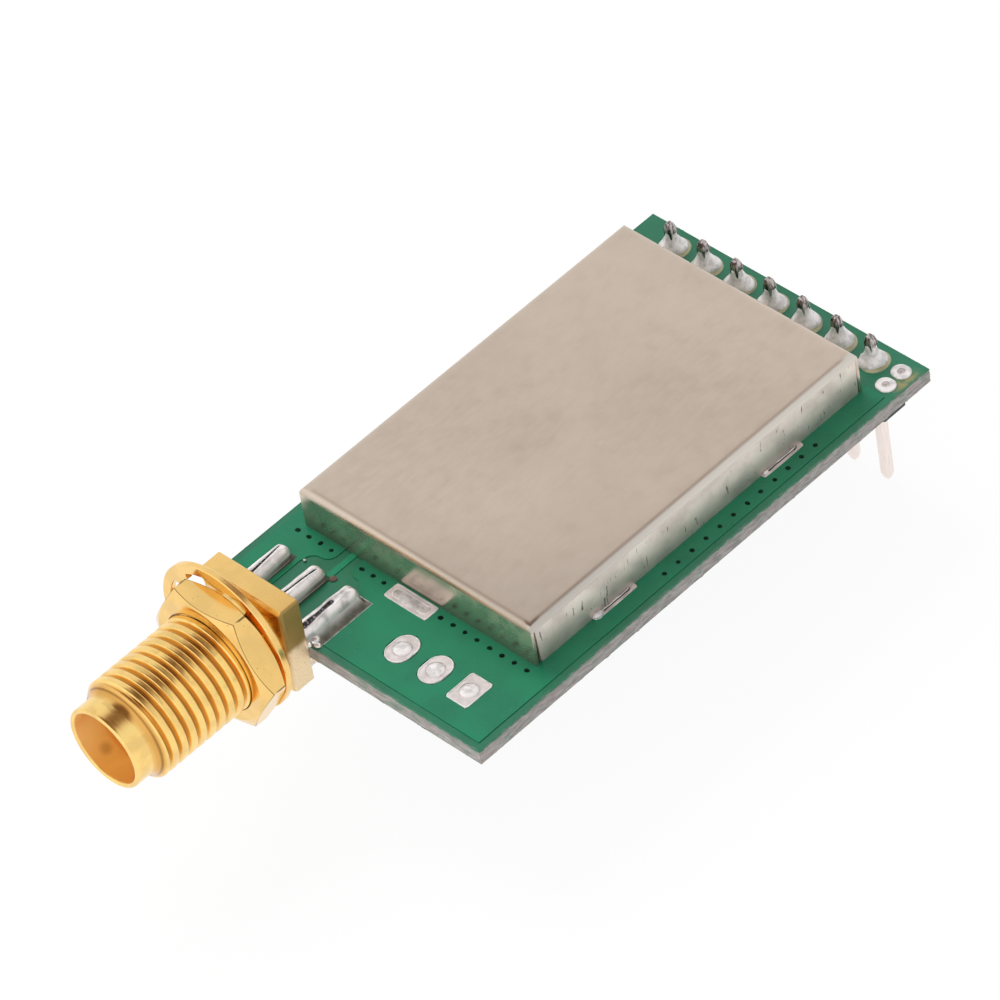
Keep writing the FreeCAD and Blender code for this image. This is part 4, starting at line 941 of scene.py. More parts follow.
class RADIO_OT_board(bpy.types.Operator):
    """Board: mask on its faces, rough strips round its cut edge and plugged vias"""

    bl_idname = "radio.board"
    bl_label = "Board"

    def execute(self, context):
        settings = context.scene.radio_board
        dress("circuit_board", board_finish(settings))
        copper = green_mask("copper_mask", settings.copper_mask_colour)
        for node in ("ground_copper_top", "ground_copper_bottom"):
            dress(node, copper)
        dress("antenna_trace", green_mask("trace_mask", darker(settings.copper_mask_colour, 1.35)))
        self.edge_strips(settings)
        self.vias(settings)
        return {"FINISHED"}

    def edge_strips(self, settings):
        """The cut edge: a profile from just inside the top rim, over it, down the cut
        and under the lower rim is carried round the board's outline, and a seeded wave
        moves it in and out."""
        corner = 0.12 * MM
        half = (BOARD_HIGH - BOARD_LOW)[:2] / 2
        centre = (BOARD_HIGH + BOARD_LOW)[:2] / 2
        ends = np.array([(-1, -1), (1, -1), (1, 1), (-1, 1)])
        line = np.vstack([np.linspace(centre + half * start, centre + half * end, 260)[:-1]
                          for start, end in zip(ends, np.roll(ends, -1, 0))])
        out = line - centre
        wide = np.abs(out) / half
        normal = np.sign(out) * (wide >= 1 - corner / half)
        normal = normal / np.linalg.norm(normal, axis=1)[:, None]
        top = BOARD_TOP
        low = BOARD_UNDER
        wrap = settings.edge_wrap
        profile = [(-wrap, top - 0.03 * MM), (-wrap, top + 0.012 * MM),
                   (-0.05 * MM, top + 0.014 * MM), (0.012 * MM, top - 0.03 * MM)]
        profile += [(0.03 * MM, top - share * (top - low))
                    for share in np.linspace(0.08, 0.92, 12)]
        profile += [(0.012 * MM, low + 0.03 * MM), (-0.05 * MM, low - 0.014 * MM),
                    (-wrap, low - 0.012 * MM), (-wrap, low + 0.03 * MM)]
        profile = np.array(profile)
        inset = profile[:, 0][:, None] + np.zeros(len(line))
        level = profile[:, 1][:, None] + np.zeros(len(line))
        x = line[:, 0][None]
        y = line[:, 1][None]
        tear = wander(x, y, level * 0.5, 0.7 * MM, 3) + 0.7 * wander(x, y, level, 0.25 * MM, 4)
        outside = (inset > 0)
        inset = inset + outside * np.maximum(tear, -0.6) * settings.edge_roughness * 0.5
        rim = inset < -wrap * 0.9
        inset = inset + rim * (wander(x, y, 0, 1.1 * MM, 5) * 0.35 - 0.1) * wrap
        rings = points(x + normal[:, 0] * inset, y + normal[:, 1] * inset, level)
        piece("board_cut_edge", [hoop(rings)], sawn_edge(settings), crease=50)

    def vias(self, settings):
        """Plugged vias: each is a low dome over an uneven ring."""
        finish = Finish("via_plug", (0.001, 0.012, 0.008), 0.6)
        grain = finish.noise(0.15 * MM, 3)
        finish.shader.inputs["Specular IOR Level"].default_value = 0.08
        finish = finish.paint(finish.blend(finish.ramp(grain, 0.4, 0.65), (0.0006, 0.006, 0.004),
                                           (0.003, 0.03, 0.018)))
        skins = []
        for seed, (x, y) in enumerate(via_places()):
            random = np.random.default_rng(seed)
            line = oval_line(x + random.uniform(-0.03, 0.03) * MM,
                             y + random.uniform(-0.03, 0.03) * MM,
                             settings.via_radius * random.uniform(0.8, 1.15),
                             settings.via_radius * random.uniform(0.7, 1.0), 14)
            skins.append(dome(line, COPPER_TOP - 0.04 * MM, COPPER_TOP + 0.003 * MM,
                              COPPER_TOP + 0.008 * MM, seed, 0))
        piece("via_plugs", skins, finish)


def via_places():
    """Middles of the vias: the front row beside the trace, the front row beside the
    right corner, and the row along the right edge."""
    trace = JACK_X + 0.42 * MM
    front = CAN_NEAR - 0.55 * MM
    trace_pitch, corner_pitch, side_pitch = 0.86 * MM, 0.93 * MM, 1.11 * MM
    places = [(trace - 1.26 * MM - trace_pitch * step, front) for step in range(4)]
    places += [(trace + 1.1 * MM + trace_pitch * step, front) for step in range(3)]
    places += [(BOARD_RIGHT - 2.03 * MM - corner_pitch * step, front) for step in range(8)]
    places += [(BOARD_RIGHT - 1.0 * MM, CAN_NEAR + 9.22 * MM + side_pitch * step)
               for step in range(12)]
    return places


class RADIO_OT_pads(bpy.types.Operator):
    """Tinned pads with their filled holes"""

    bl_idname = "radio.pads"
    bl_label = "Pads"

    def execute(self, context):
        settings = context.scene.radio_board
        tin = tinned(settings)
        bright = bright_solder(settings, "hole_solder", 0.45, 0.3, 0.92)
        dress("antenna_pads", fluxed_pad(settings))
        dull = bright_solder(settings, "slot_solder", 0.4, 0.6, 0.76)
        self.spare_pads(tin, bright, dull)
        self.test_pads(tin, bright)
        self.shield_pads(tin, bright, dull)
        dress("header_plated_holes", tin)
        return {"FINISHED"}

    def spare_pads(self, tin, bright, dull):
        """Two slot-shaped pads and a square one, each with a domed fill."""
        low, high = corners("spare_plated_holes")
        half_y = float(high[1] - low[1]) / 2
        y = float(high[1] + low[1]) / 2
        half_x = 0.8 * MM
        first = float(low[0]) + half_x
        pads = []
        fills = []
        rings = []
        for number in range(3):
            x = first + number * PIN_PITCH
            square = number == 2
            rim = (0.06 if square else 0.07) * MM
            bore = oval_line(x, y, 0.5 * MM, 0.5 * MM, 48)
            outer = pad_line(x, y, half_x, half_y, square)
            inner = pad_line(x, y, half_x - rim, half_y - rim, square)
            pads.append(plate(outer, bore, BOARD_TOP, COPPER_TOP + 0.02 * MM, 0.03 * MM))
            pads.append(plate(oval_line(x, y, half_x, half_x, 48), bore,
                              BOARD_UNDER - 0.06 * MM, BOARD_UNDER, 0.02 * MM))
            rings.append(plate(oval_line(x, y, 0.58 * MM, 0.58 * MM, 48), bore, COPPER_TOP,
                               COPPER_TOP + 0.05 * MM, 0.03 * MM))
            fills.append(plate(outer, inner, COPPER_TOP, COPPER_TOP + 0.05 * MM, 0.02 * MM))
            line = oval_line(x + 0.03 * MM, y - 0.03 * MM, 0.51 * MM, 0.51 * MM, 48)
            fills.append(dome(line, BOARD_TOP, COPPER_TOP + 0.06 * MM, COPPER_TOP + 0.12 * MM,
                              20 + number, 0.01 * MM))
            low_fill = dome(line, -BOARD_TOP, -BOARD_UNDER + 0.03 * MM,
                            -BOARD_UNDER + 0.14 * MM, 30 + number, 0.03 * MM)
            fills.append(upside_down(low_fill))
        piece("spare_pads", pads, tin, ["spare_plated_holes"])
        piece("spare_pad_rings", rings, dull)
        piece("spare_pad_solder", fills, bright, ["spare_hole_solder"])

    def test_pads(self, tin, bright):
        """The two small pads of the corner, with sunk fills."""
        low, high = corners("test_plated_holes")
        x = float(low[0] + high[0]) / 2
        half = 0.62 * MM
        pads = []
        fills = []
        for number, y in enumerate((float(low[1]) + half, float(high[1]) - half)):
            bore = oval_line(x, y, 0.24 * MM, 0.24 * MM, 40)
            outer = oval_line(x, y, half, 0.55 * MM, 40)
            pads.append(plate(outer, bore, BOARD_TOP, COPPER_TOP + 0.05 * MM, 0.05 * MM))
            pads.append(plate(outer, bore, BOARD_UNDER - 0.06 * MM, BOARD_UNDER, 0.02 * MM))
            fills.append(dome(bore, BOARD_UNDER, BOARD_TOP, BOARD_TOP - 0.1 * MM, 40 + number, 0))
        piece("test_pads", pads, bright, ["test_plated_holes"])
        piece("test_pad_solder", fills, tin, ["test_hole_solder"])

    def shield_pads(self, tin, bright, dull):
        """The pads round the five slots. The front one, which no tab fills, has a raised
        rim and a sunk fill."""
        low, high = corners("shield_pads")
        # Middle of each pad, its half sizes and the half sizes of its slot
        can_x = (CAN_LEFT + CAN_RIGHT) / 2
        front_y = CAN_NEAR - 0.68 * MM
        places = [(can_x, front_y, 1.6 * MM, 0.575 * MM, 1.275 * MM, 0.275 * MM)]
        middle_x = float(low[0] + high[0]) / 2
        slot_x = (float(high[0] - low[0]) - 0.8 * MM) / 2
        for x in (middle_x - slot_x, middle_x + slot_x):
            for y in TAB_PLACES:
                places.append((x, y, 0.4 * MM, 1.6 * MM, 0.225 * MM, 1.275 * MM))
        pads = []
        fills = []
        for number, (x, y, half_x, half_y, slot_half_x, slot_half_y) in enumerate(places):
            slot = oval_line(x, y, slot_half_x, slot_half_y, 64)
            outer = box_line(x, y, half_x, half_y, 0.05 * MM, 64)
            pads.append(plate(outer, slot, BOARD_TOP, COPPER_TOP + 0.015 * MM, 0.02 * MM))
            if number == 0:
                rim = oval_line(x, y, slot_half_x + 0.07 * MM, slot_half_y + 0.07 * MM, 64)
                fills.append(plate(rim, slot, COPPER_TOP, COPPER_TOP + 0.05 * MM, 0.03 * MM))
                inner = box_line(x, y, half_x - 0.06 * MM, half_y - 0.06 * MM, 0.05 * MM, 64)
                fills.append(plate(outer, inner, COPPER_TOP, COPPER_TOP + 0.04 * MM, 0.02 * MM))
                sunk = dome(slot, BOARD_TOP, COPPER_TOP + 0.01 * MM, COPPER_TOP + 0.03 * MM,
                            50, 0.03 * MM)
        piece("shield_pad_tin", pads, tin, ["shield_pads"])
        piece("shield_pad_solder", fills + self.beads(), bright, ["shield_solder"])
        piece("slot_fill", [sunk], dull)

    def beads(self):
        """Solder at the foot of the can's side walls: a thin uneven ridge, and at its
        near end a small drop. The ridge is half of a long drop, whose height and width
        fall to nothing at its ends, with a seeded wave; the drop is a dented sphere."""
        skins = []
        along = np.linspace(-1, 1, 61)[:, None]
        turn = np.linspace(0, math.pi / 2, 9)
        swell = np.sqrt(np.maximum(1 - along ** 4, 0.01))
        walls = [(side, wall, middle) for side, wall in ((-1, CAN_LEFT), (1, CAN_RIGHT))
                 for middle in TAB_PLACES]
        for number, (side, wall, middle) in enumerate(walls):
            y = middle + along * 1.2 * MM + 0 * turn
            wave = 0.7 + 0.45 * wander(y, 0, turn * 0.2 * MM, 0.6 * MM, 60 + number)
            wave = np.maximum(wave, 0.25)
            x = wall + side * (0.06 * MM * np.cos(turn) * swell * wave)
            z = COPPER_TOP + 0.09 * MM * np.sin(turn) * swell * wave
            root = np.full((61, 1), wall - side * 0.05 * MM)
            foot = np.full((61, 1), COPPER_TOP - 0.01 * MM)
            skins.append(tube(points(np.hstack([x, root, root]),
                                     np.hstack([y, y[:, :1], y[:, :1]]),
                                     np.hstack([z, z[:, -1:], foot]))))
            size = (0.24 if number == 2 else 0.13) * MM
            skins.append(dented_ball(
                (wall + side * 0.12 * MM, middle - 1.35 * MM, COPPER_TOP + 0.08 * MM),
                (size, 1.5 * size, size), 16, 24, 0.18, 1.2, 65 + number))
        return skins


class RADIO_OT_can(bpy.types.Operator):
    """Shield can: top tray with its bends, and four walls open at the corner seams"""

    bl_idname = "radio.can"
    bl_label = "Shield can"

    def execute(self, context):
        settings = context.scene.radio_can
        satin = sheet_metal(settings)
        piece("can_top", [self.tray(settings)], satin, ["shield_can"],
              crease=40)
        walls = self.walls(settings)
        mirror = polished_wall(settings)
        scratched = scratched_wall(settings)
        piece("can_near_wall", [walls[0]], mirror)
        piece("can_far_wall", [walls[1]], mirror)
        piece("can_left_wall", [walls[2]], scratched)
        piece("can_right_wall", [walls[3]], scratched)
        piece("can_tabs", self.tabs(settings), scratched)
        return {"FINISHED"}

    def tray(self, settings):
        """Nested rectangles: level over the top, then down a quarter circle at the bend,
        and back inside it one sheet thickness away. A faint wave dents the top."""
        top = CAN_TOP
        bend = settings.bend
        turn = np.linspace(0, math.pi / 2, 10)
        half = min(CAN_RIGHT - CAN_LEFT, CAN_FAR - CAN_NEAR) / 2
        insets = np.linspace(half * 0.98, bend, 30)
        outer = [(inset, top) for inset in insets[:-1]]
        outer += [(bend * (1 - math.sin(a)), top - bend * (1 - math.cos(a))) for a in turn]
        inner_bend = bend - settings.sheet
        inner = [(settings.sheet + inner_bend * (1 - math.sin(a)),
                  top - settings.sheet - inner_bend * (1 - math.cos(a))) for a in turn[::-1]]
        inner += [(inset, top - settings.sheet) for inset in insets[::-1][1:]]
        return tube(np.stack([self.rectangle(inset, level) for inset, level in outer + inner]))

    def rectangle(self, inset, level):
        """One rectangle inside the can's outline, with the points crowded evenly along
        each side and a faint dent in its level."""
        low = CAN_LOW[:2] + inset
        high = CAN_HIGH[:2] - inset
        share = np.linspace(0, 1, 33)[:-1]
        zero = np.zeros_like(share)
        x = np.concatenate([share, zero + 1, 1 - share, zero])
        y = np.concatenate([zero, share, zero + 1, 1 - share])
        x = low[0] + (high[0] - low[0]) * x
        y = low[1] + (high[1] - low[1]) * y
        dent = wander(x, y, 0, 9 * MM, 8) * 0.012 * MM * smooth_step(inset, 0.5 * MM, 2 * MM)
        return np.stack([x, y, level + dent], -1)

    def walls(self, settings):
        """Near, far, left and right wall. A wall is a flat grid from the board to the
        bend and a second one a sheet thickness inside. The side walls stop short of the
        corners by the seam, which is wider at the foot."""
        top = CAN_TOP - settings.bend
        levels = np.linspace(COPPER_TOP, top, 12)[:, None]
        share = np.linspace(0, 1, 60)[None]
        sheet = settings.sheet
        made = []
        for y, inward in ((CAN_NEAR, 1), (CAN_FAR, -1)):
            x = CAN_LEFT + (CAN_RIGHT - CAN_LEFT) * share
            wave = wander(x, 0, levels, 5 * MM, 11) * 0.008 * MM
            made.append(slab(points(x, y - inward * np.abs(wave), levels),
                             points(x, y + inward * sheet, levels)))
        rise = (levels - COPPER_TOP) / (top - COPPER_TOP)
        seam = settings.seam_foot + (settings.seam_top - settings.seam_foot) * rise
        for x, inward in ((CAN_LEFT, 1), (CAN_RIGHT, -1)):
            start = CAN_NEAR + sheet + seam
            end = CAN_FAR - sheet - seam * 0.3
            y = start + (end - start) * share
            wave = wander(0, y, levels, 4 * MM, 12) * 0.008 * MM
            made.append(slab(points(x - inward * np.abs(wave), y, levels),
                             points(x + inward * sheet, y, levels)))
        return made

    def tabs(self, settings):
        """Four tabs that pass through the board."""
        skins = []
        for x in (CAN_LEFT, CAN_RIGHT - settings.sheet):
            for middle in TAB_PLACES:
                y = middle + np.linspace(-1, 1, 9)[None] * MM
                z = np.linspace(BOARD_UNDER - 0.05 * MM, COPPER_TOP, 5)[:, None]
                skins.append(slab(points(x, y, z), points(x + settings.sheet, y, z)))
        return skins


class RADIO_OT_jack(bpy.types.Operator):
    """Antenna jack: turned barrel with its thread, square block, legs, insulator and
    centre contact"""

    bl_idname = "radio.jack"
    bl_label = "Antenna jack"

    def execute(self, context):
        settings = context.scene.radio_jack
        self.barrel(settings, barrel_gold(settings))
        gold = gold_plate(settings)
        self.block(settings)
        self.inside(settings, gold)
        self.legs(context.scene.radio_board)
        return {"FINISHED"}

    def barrel(self, settings, gold):
        """A profile from the back of the bore out to the mouth, round the lip and back
        over nose, cone, thread and neck, turned about the axis. The thread is a ridge
        whose phase is the distance along the axis over the pitch, less the angle over a
        full turn, so it climbs like a right-handed screw."""
        nose = settings.nose_radius
        mouth = settings.mouth_radius
        crest = settings.thread_radius
        neck = 2.85 * MM
        lip = (nose - mouth) / 2
        lip_end = MOUTH_END + lip
        thread_end = BOARD_NEAR - 10.85 * MM
        nut_start = NUT_FRONT + 0.1 * MM
        nut_full = NUT_FRONT + 0.4 * MM
        hidden = BOARD_NEAR - 0.3 * MM
        profile = [(hidden, BORE_RADIUS), (BORE_SHELF, BORE_RADIUS), (BORE_SHELF, mouth)]
        profile += [(y, mouth) for y in np.linspace(BORE_SHELF, lip_end, 14)[1:]]
        within = len(profile) + 1
        profile += [(lip_end - lip * math.sin(a), mouth + lip - lip * math.cos(a))
                    for a in np.linspace(0, math.pi, 13)[1:-1]]
        profile += [(y, nose) for y in np.linspace(lip_end, thread_end - 0.42 * MM, 12)]
        profile += [(y, crest) for y in np.linspace(thread_end, nut_full, 190)]
        profile += [(NUT_BACK, 2.95 * MM), (NUT_BACK + 0.4 * MM, neck),
                    (BOARD_NEAR - 1.4 * MM, neck), (hidden, neck)]
        profile = np.array(profile)
        threaded = profile[:, 1:2] == crest

        def thread(y, angle, radius):
            """The radius less the groove between two turns of the thread, which starts at
            the nose and ends under the nut, and a little wear."""
            phase = (NUT_FRONT - y) / settings.thread_pitch - angle / TURN
            ridge = smooth_step(np.abs((phase % 1) * 2 - 1), 0.04, 0.6)
            under_nut = smooth_step(y, nut_start, nut_full)
            fade = smooth_step(y, thread_end - 0.1 * MM, thread_end + 0.5 * MM)
            fade = fade * (1 - under_nut) + under_nut
            start = settings.thread_depth * (1 - ridge) * fade
            worn = wander(angle + 0 * y, y * 300, 0, 2.2, 14) * 0.012 * MM
            lead = 1 - smooth_step(y, thread_end - 0.02 * MM, thread_end + 0.25 * MM)
            lead = (crest - nose) * lead * 0.5
            return np.where(threaded, radius - start - lead + worn, radius)

        rings = turned(profile, 128, thread)
        radius = np.hypot(rings[..., 0] - JACK_X, rings[..., 2] - JACK_Z)
        # Shade attribute: the thread's depth for painted shade in its valleys, 0.9 on two turned
        # rings of the nose, and -1 inside the mouth, where painted light lies.
        valley_shade = np.clip((crest - radius) / settings.thread_depth, 0, 1)
        valley_shade = np.where(threaded, valley_shade, 0) ** 1.3
        marks = sum(0.9 * np.exp(-((profile[:, :1] - MOUTH_END - place * MM) / (0.03 * MM)) ** 2)
                    for place in (1.15, 1.5)) * (profile[:, 1:2] == nose)
        inside = -1.0 * (np.arange(len(profile)) < within)[:, None]
        piece("jack_barrel", [hoop(rings)], gold, ["connector_body"],
              crease=55, shade=(valley_shade + marks + inside).ravel())

    def block(self, settings):
        """Rounded squares stacked along the axis, smaller at the front edge."""
        rings = []
        for reach, half in ((0, 3.06), (0.04, 3.1), (1.26, 3.1), (1.44, 2.98), (1.5, 2.88)):
            ring = rounded_box_ring(half * MM, half * MM, 0.16 * MM, 5)
            rings.append(points(JACK_X + ring[:, 0], BOARD_NEAR - reach * MM,
                                JACK_Z + ring[:, 1]))
        piece("jack_block", [tube(np.stack(rings))], block_metal(settings),
              crease=30)

    def inside(self, settings, gold):
        """Insulator and slotted centre contact."""
        shelf = BORE_SHELF
        plastic = moulded("white_insulator", settings.insulator_colour, 0.45)
        back = BOARD_NEAR + 0.03 * MM
        hole = 0.635 * MM
        ring = turned([(back, hole), (shelf + 0.05 * MM, hole), (shelf, 0.72 * MM),
                       (shelf, 1.98 * MM), (shelf + 0.06 * MM, BORE_RADIUS),
                       (back, BORE_RADIUS)], 64)
        piece("jack_insulator", [hoop(ring)], plastic, ["connector_insulator"])
        dress("centre_contact", gold)

    def legs(self, settings):
        """The two lower legs: a rounded bar section carried along the board, narrower
        and lower at its far end. The upper legs are made with their solder."""
        metal = bright_solder(settings, "lower_leg", 0.2)
        skins = [self.leg(JACK_X + side * LEG_SPACING, 0.45 * MM, 0.8 * MM, side)
                 for side in (-1, 1)]
        piece("jack_lower_legs", skins, metal)

    def leg(self, x, half, height, seed):
        """One leg: rounded sections along y."""
        base = BOARD_UNDER - 0.05 * MM
        along = np.concatenate([np.linspace(BOARD_NEAR - 0.1 * MM, BOARD_NEAR + 3.6 * MM, 24),
                                BOARD_NEAR + np.array([3.75, 3.87, 3.95, 4.0]) * MM])
        end = np.clip((along - BOARD_NEAR - 3.5 * MM) / (0.5 * MM), 0, 1)
        shrink = np.sqrt(np.maximum(1 - end ** 2, 0.02))
        ring = rounded_box_ring(half, height / 2, 0.2 * MM, 5)
        x_all = x + ring[:, 0][None] * (0.75 + 0.25 * shrink[:, None])
        z_all = base - (height / 2 * shrink[:, None] + ring[:, 1][None] * shrink[:, None])
        y_all = along[:, None] + 0 * x_all
        wave = wander(x_all, y_all, z_all, 1.2 * MM, 70 + seed) * 0.03 * MM
        return tube(points(x_all + wave, y_all, z_all + wave))


class RADIO_OT_nut(bpy.types.Operator):
    """Hexagon nut and lock washer"""

    bl_idname = "radio.nut"
    bl_label = "Nut and washer"

    def execute(self, context):
        settings = context.scene.radio_jack
        skin, worn = self.nut(settings)
        piece("hex_nut_gold", [skin], nut_metal(settings), ["hex_nut"],
              crease=22, shade=worn)
        gold = gold_plate(settings, "washer_gold", 0.18)
        piece("lock_washer_gold", [self.washer()], gold, ["lock_washer"],
              crease=40)
        return {"FINISHED"}

    def nut(self, settings):
        """At each angle the side stands at the hexagon's distance from the axis. Both
        faces are cones of thirty degrees outside a circle a little smaller than the
        flats, so the edge between face and side dips to the corners."""
        front = NUT_FRONT
        back = NUT_BACK
        angle = angles(240)
        flat = settings.nut_flats / 2
        side = flat / np.cos((angle % (TURN / 6)) - TURN / 12)
        ring = flat - 0.12 * MM
        bore = 2.97 * MM
        lead = 3.24 * MM
        chamfer = 0.27 * MM
        drop = np.maximum(side - ring, 0) * math.tan(math.radians(30))
        # Place along the axis, radius and painted edge shade of each ring, from bore to bore
        rows = [(front + chamfer, bore, 0.6), (front, lead, 0.9)]
        rows += [(front, lead + (ring - lead) * share, 0) for share in (0.04, 0.5, 1.0)]
        rows += [(front + drop * share, ring + (side - ring) * share, 0)
                 for share in (0.5, 0.9)]
        rows += [(front + drop, side, 1)]
        rows += [(front + drop + 0.05 * MM + (back - front - 2 * drop - 0.1 * MM) * share, side, 0)
                 for share in (0.0, 0.5, 1.0)]
        rows += [(back - drop * share, ring + (side - ring) * share, shade)
                 for share, shade in ((1.0, 1), (0.9, 0), (0.5, 0))]
        rows += [(back, ring, 0), (back, lead, 0), (back - chamfer, bore, 0)]
        rings = axis_rings([row[:2] for row in rows], angle, JACK_X, JACK_Z)
        # Shade attribute: painted shade in dark lines along the bore's rim, the chamfers' edges
        # and, on the sides, the hexagon's corners.
        worn = np.array([shade for _, _, shade in rows])[:, None]
        corner = np.abs(side - flat / math.cos(TURN / 12)) < 0.002 * MM
        wall = np.array([np.max(radius) > ring + 0.1 * MM for _, radius, _ in rows])[:, None]
        far = np.array([np.mean(y) > front + 0.4 * MM for y, _, _ in rows])[:, None]
        return hoop(rings), np.maximum(worn + 0 * side, corner * wall * far * 1.0).ravel()

    def washer(self):
        """A flat ring whose inner edge steps in to eight teeth round the thread."""
        low, high = corners("lock_washer")
        front, back = float(low[1]), float(high[1])
        middle_x, _, middle_z = (low + high) / 2
        angle = angles(320)
        outer = float(high[0] - low[0]) / 2
        root = outer - 0.65 * MM
        tooth = smooth_step(np.cos(angle * 8), 0.0, 0.35)
        inner = root + (3.775 * MM - root) * tooth
        soft = 0.05 * MM
        half = [(front + soft, inner), (front, inner + soft), (front, (inner + outer) / 2),
                (front, outer - soft), (front + soft, outer)]
        rows = half + [(front + back - y, radius) for y, radius in half[::-1]]
        return hoop(axis_rings(rows, angle, middle_x, middle_z))


class RADIO_OT_jack_solder(bpy.types.Operator):
    """Solder round the jack's legs and tail"""

    bl_idname = "radio.jack_solder"
    bl_label = "Jack solder"

    def execute(self, context):
        settings = context.scene.radio_board
        finish = bright_solder(settings, "pad_solder", 0.24)
        skins = []
        # The skirt's solder: painted shade, dark grey, with a painted highlight beside the leg.
        grey = painted_shade_solder()
        left = JACK_X - LEG_SPACING
        right = JACK_X + LEG_SPACING
        skirt = self.mound(RIGHT_PAD_X, 1.05 * MM, right, False, 79)
        piece("right_leg_skirt", [skirt], grey, crease=60)
        for seed, (pad_x, half, leg_x) in enumerate(((left, 0.62 * MM, left),
                                                     (RIGHT_PAD_X, 1.03 * MM, right))):
            skins.append(self.mound(pad_x, half, leg_x, True, 80 + seed))
        skins += self.drops()
        piece("leg_solder", skins, finish, ["connector_solder"], crease=60)
        metal = soldered_metal(settings)
        self.bar("upper_leg_left", metal, (-3.28, -3.14), (-1.98, -2.14), 0.86,
                 (0.3, -0.3), (0.26, 0.07), 1, 0.02)
        self.bar("contact_tail", metal, (-0.61, -0.55), (0.61, 0.55), 0.82,
                 (-0.3, 0.2), (0.12, 0.12), 2, 0.02)
        rough = soldered_metal(settings, "rough_leg", 0.6, 0.9)
        self.bar("upper_leg_right", rough, (1.95, 2.05), (3.3, 3.22), 0.92,
                 (0.1, -0.1), (0.4, 0.2), 3, 0.06)
        self.stain()
        return {"FINISHED"}

    def bar(self, name, metal, left, right, height, crack, width, seed, lumps):
        """A leg under its solder. Across it the height follows the root of 1 - |u|^3,
        and along it falls as a quarter circle at the far end. Both sides run straight
        from the near to the far end. A groove, a bell curve across, follows a slanting
        line and grows narrower; the shade attribute is 1 in it and below 0 at the rim."""
        across = np.linspace(-1, 1, 61)[None]
        along = np.linspace(0, 1, 73)[:, None]
        end = np.sqrt(1 - 0.96 * np.clip((along - 0.87) / 0.13, 0, 1) ** 2)
        low = left[0] + (left[1] - left[0]) * along
        high = right[0] + (right[1] - right[0]) * along
        x = JACK_X + ((low + high) / 2 + (high - low) / 2 * across * end) * MM
        y = BOARD_NEAR + (-0.06 + 4.36 * along) * MM + 0 * across
        line = crack[0] + (crack[1] - crack[0]) * along
        spread = width[0] + (width[1] - width[0]) * along
        groove = np.exp(-((across - line) / spread) ** 2)
        section = np.sqrt(1 - 0.98 * np.abs(across) ** 3)
        wave = wander(x, y * 0.7, 0, 0.8 * MM, 90 + seed) * lumps
        level = height * end * section * (1 - 0.12 * groove) + wave * section * end
        z = COPPER_TOP + np.maximum(level, 0.02) * MM
        skin = slab(points(x, y, z), points(x, y, COPPER_TOP - 0.02 * MM))
        rim = np.maximum(smooth_step(np.abs(across), 0.9, 1.0), smooth_step(along, 0.93, 1.0))
        start = smooth_step(along, 0.0, 0.08)
        stop = 1 - smooth_step(along, 1 - 7 * lumps, 1.1 - 7 * lumps)
        # Shade attribute: 1 in the groove, filled with black painted shade, and below 0 at the
        # rim, for brown flux.
        shade = groove * start * stop - rim * (0.5 + 0.5 * smooth_step(along, 0.4, 0.9))
        piece(name, [skin], metal, crease=60,
              shade=np.concatenate([shade.ravel(), 0 * shade.ravel()]))

    def mound(self, pad_x, half, leg_x, under, seed):
        """Solder on a pad: its level falls from the leg's side to the pad's edge as a
        hollow curve, (1 - share)^1.5, with seeded waves, and ends on an uneven outline."""
        base = 0.05 * MM - BOARD_UNDER if under else COPPER_TOP
        across = np.linspace(-1, 1, 45)[None]
        along = np.linspace(0, 1, 61)[:, None]
        x = pad_x + across * half + 0 * along
        length = 4.25 * MM
        y = BOARD_NEAR + 0.02 * MM + along * length + 0 * across
        y = y + wander(x, 0, 0, 0.9 * MM, seed + 7) * 0.05 * MM * along
        leg_half = 0.42 * MM
        side = np.maximum(np.abs(x - leg_x) - leg_half, 0)
        room = np.where(x < leg_x, leg_x - (pad_x - half), pad_x + half - leg_x) - leg_half
        share = np.clip(side / room, 0, 1)
        end = smooth_step(y, BOARD_NEAR + 3.9 * MM, BOARD_NEAR + length)
        rise = 0.5 * MM
        level = rise * (1 - share) ** 1.5 * (1 - end)
        level = level * (1 + 0.12 * wander(x, y, 0, 1.2 * MM, seed))
        z = base + np.maximum(level, 0.012 * MM)
        skin = slab(points(x, y, z), points(x, y, base - 0.02 * MM))
        return upside_down(skin) if under else skin

    def drops(self):
        """Drops of solder where the right leg leaves the board's edge, and one loose
        ball: spheres pulled out along each axis and dented by a seeded wave."""
        skins = []
        for seed, (x, y, z, half_x, half_y, half_z) in enumerate((
                (2.75, -0.02, -0.1, 0.42, 0.22, 0.45), (2.35, 0.05, 0.1, 0.36, 0.3, 0.36),
                (3.1, 0.12, 0.0, 0.34, 0.3, 0.3), (-1.47, 4.35, 0.04, 0.09, 0.09, 0.07),
                (3.3, 0.36, 0.1, 0.3, 0.34, 0.26), (3.62, 0.22, 0.03, 0.26, 0.2, 0.15),
                (2.9, 0.42, 0.35, 0.3, 0.3, 0.3), (2.45, 0.8, 0.62, 0.2, 0.26, 0.2))):
            middle = (JACK_X + x * MM, BOARD_NEAR + y * MM, COPPER_TOP + z * MM)
            half = (half_x * MM, half_y * MM, half_z * MM)
            skins.append(dented_ball(middle, half, 20, 28, 0.1, 1.5, 200 + seed))
        return skins

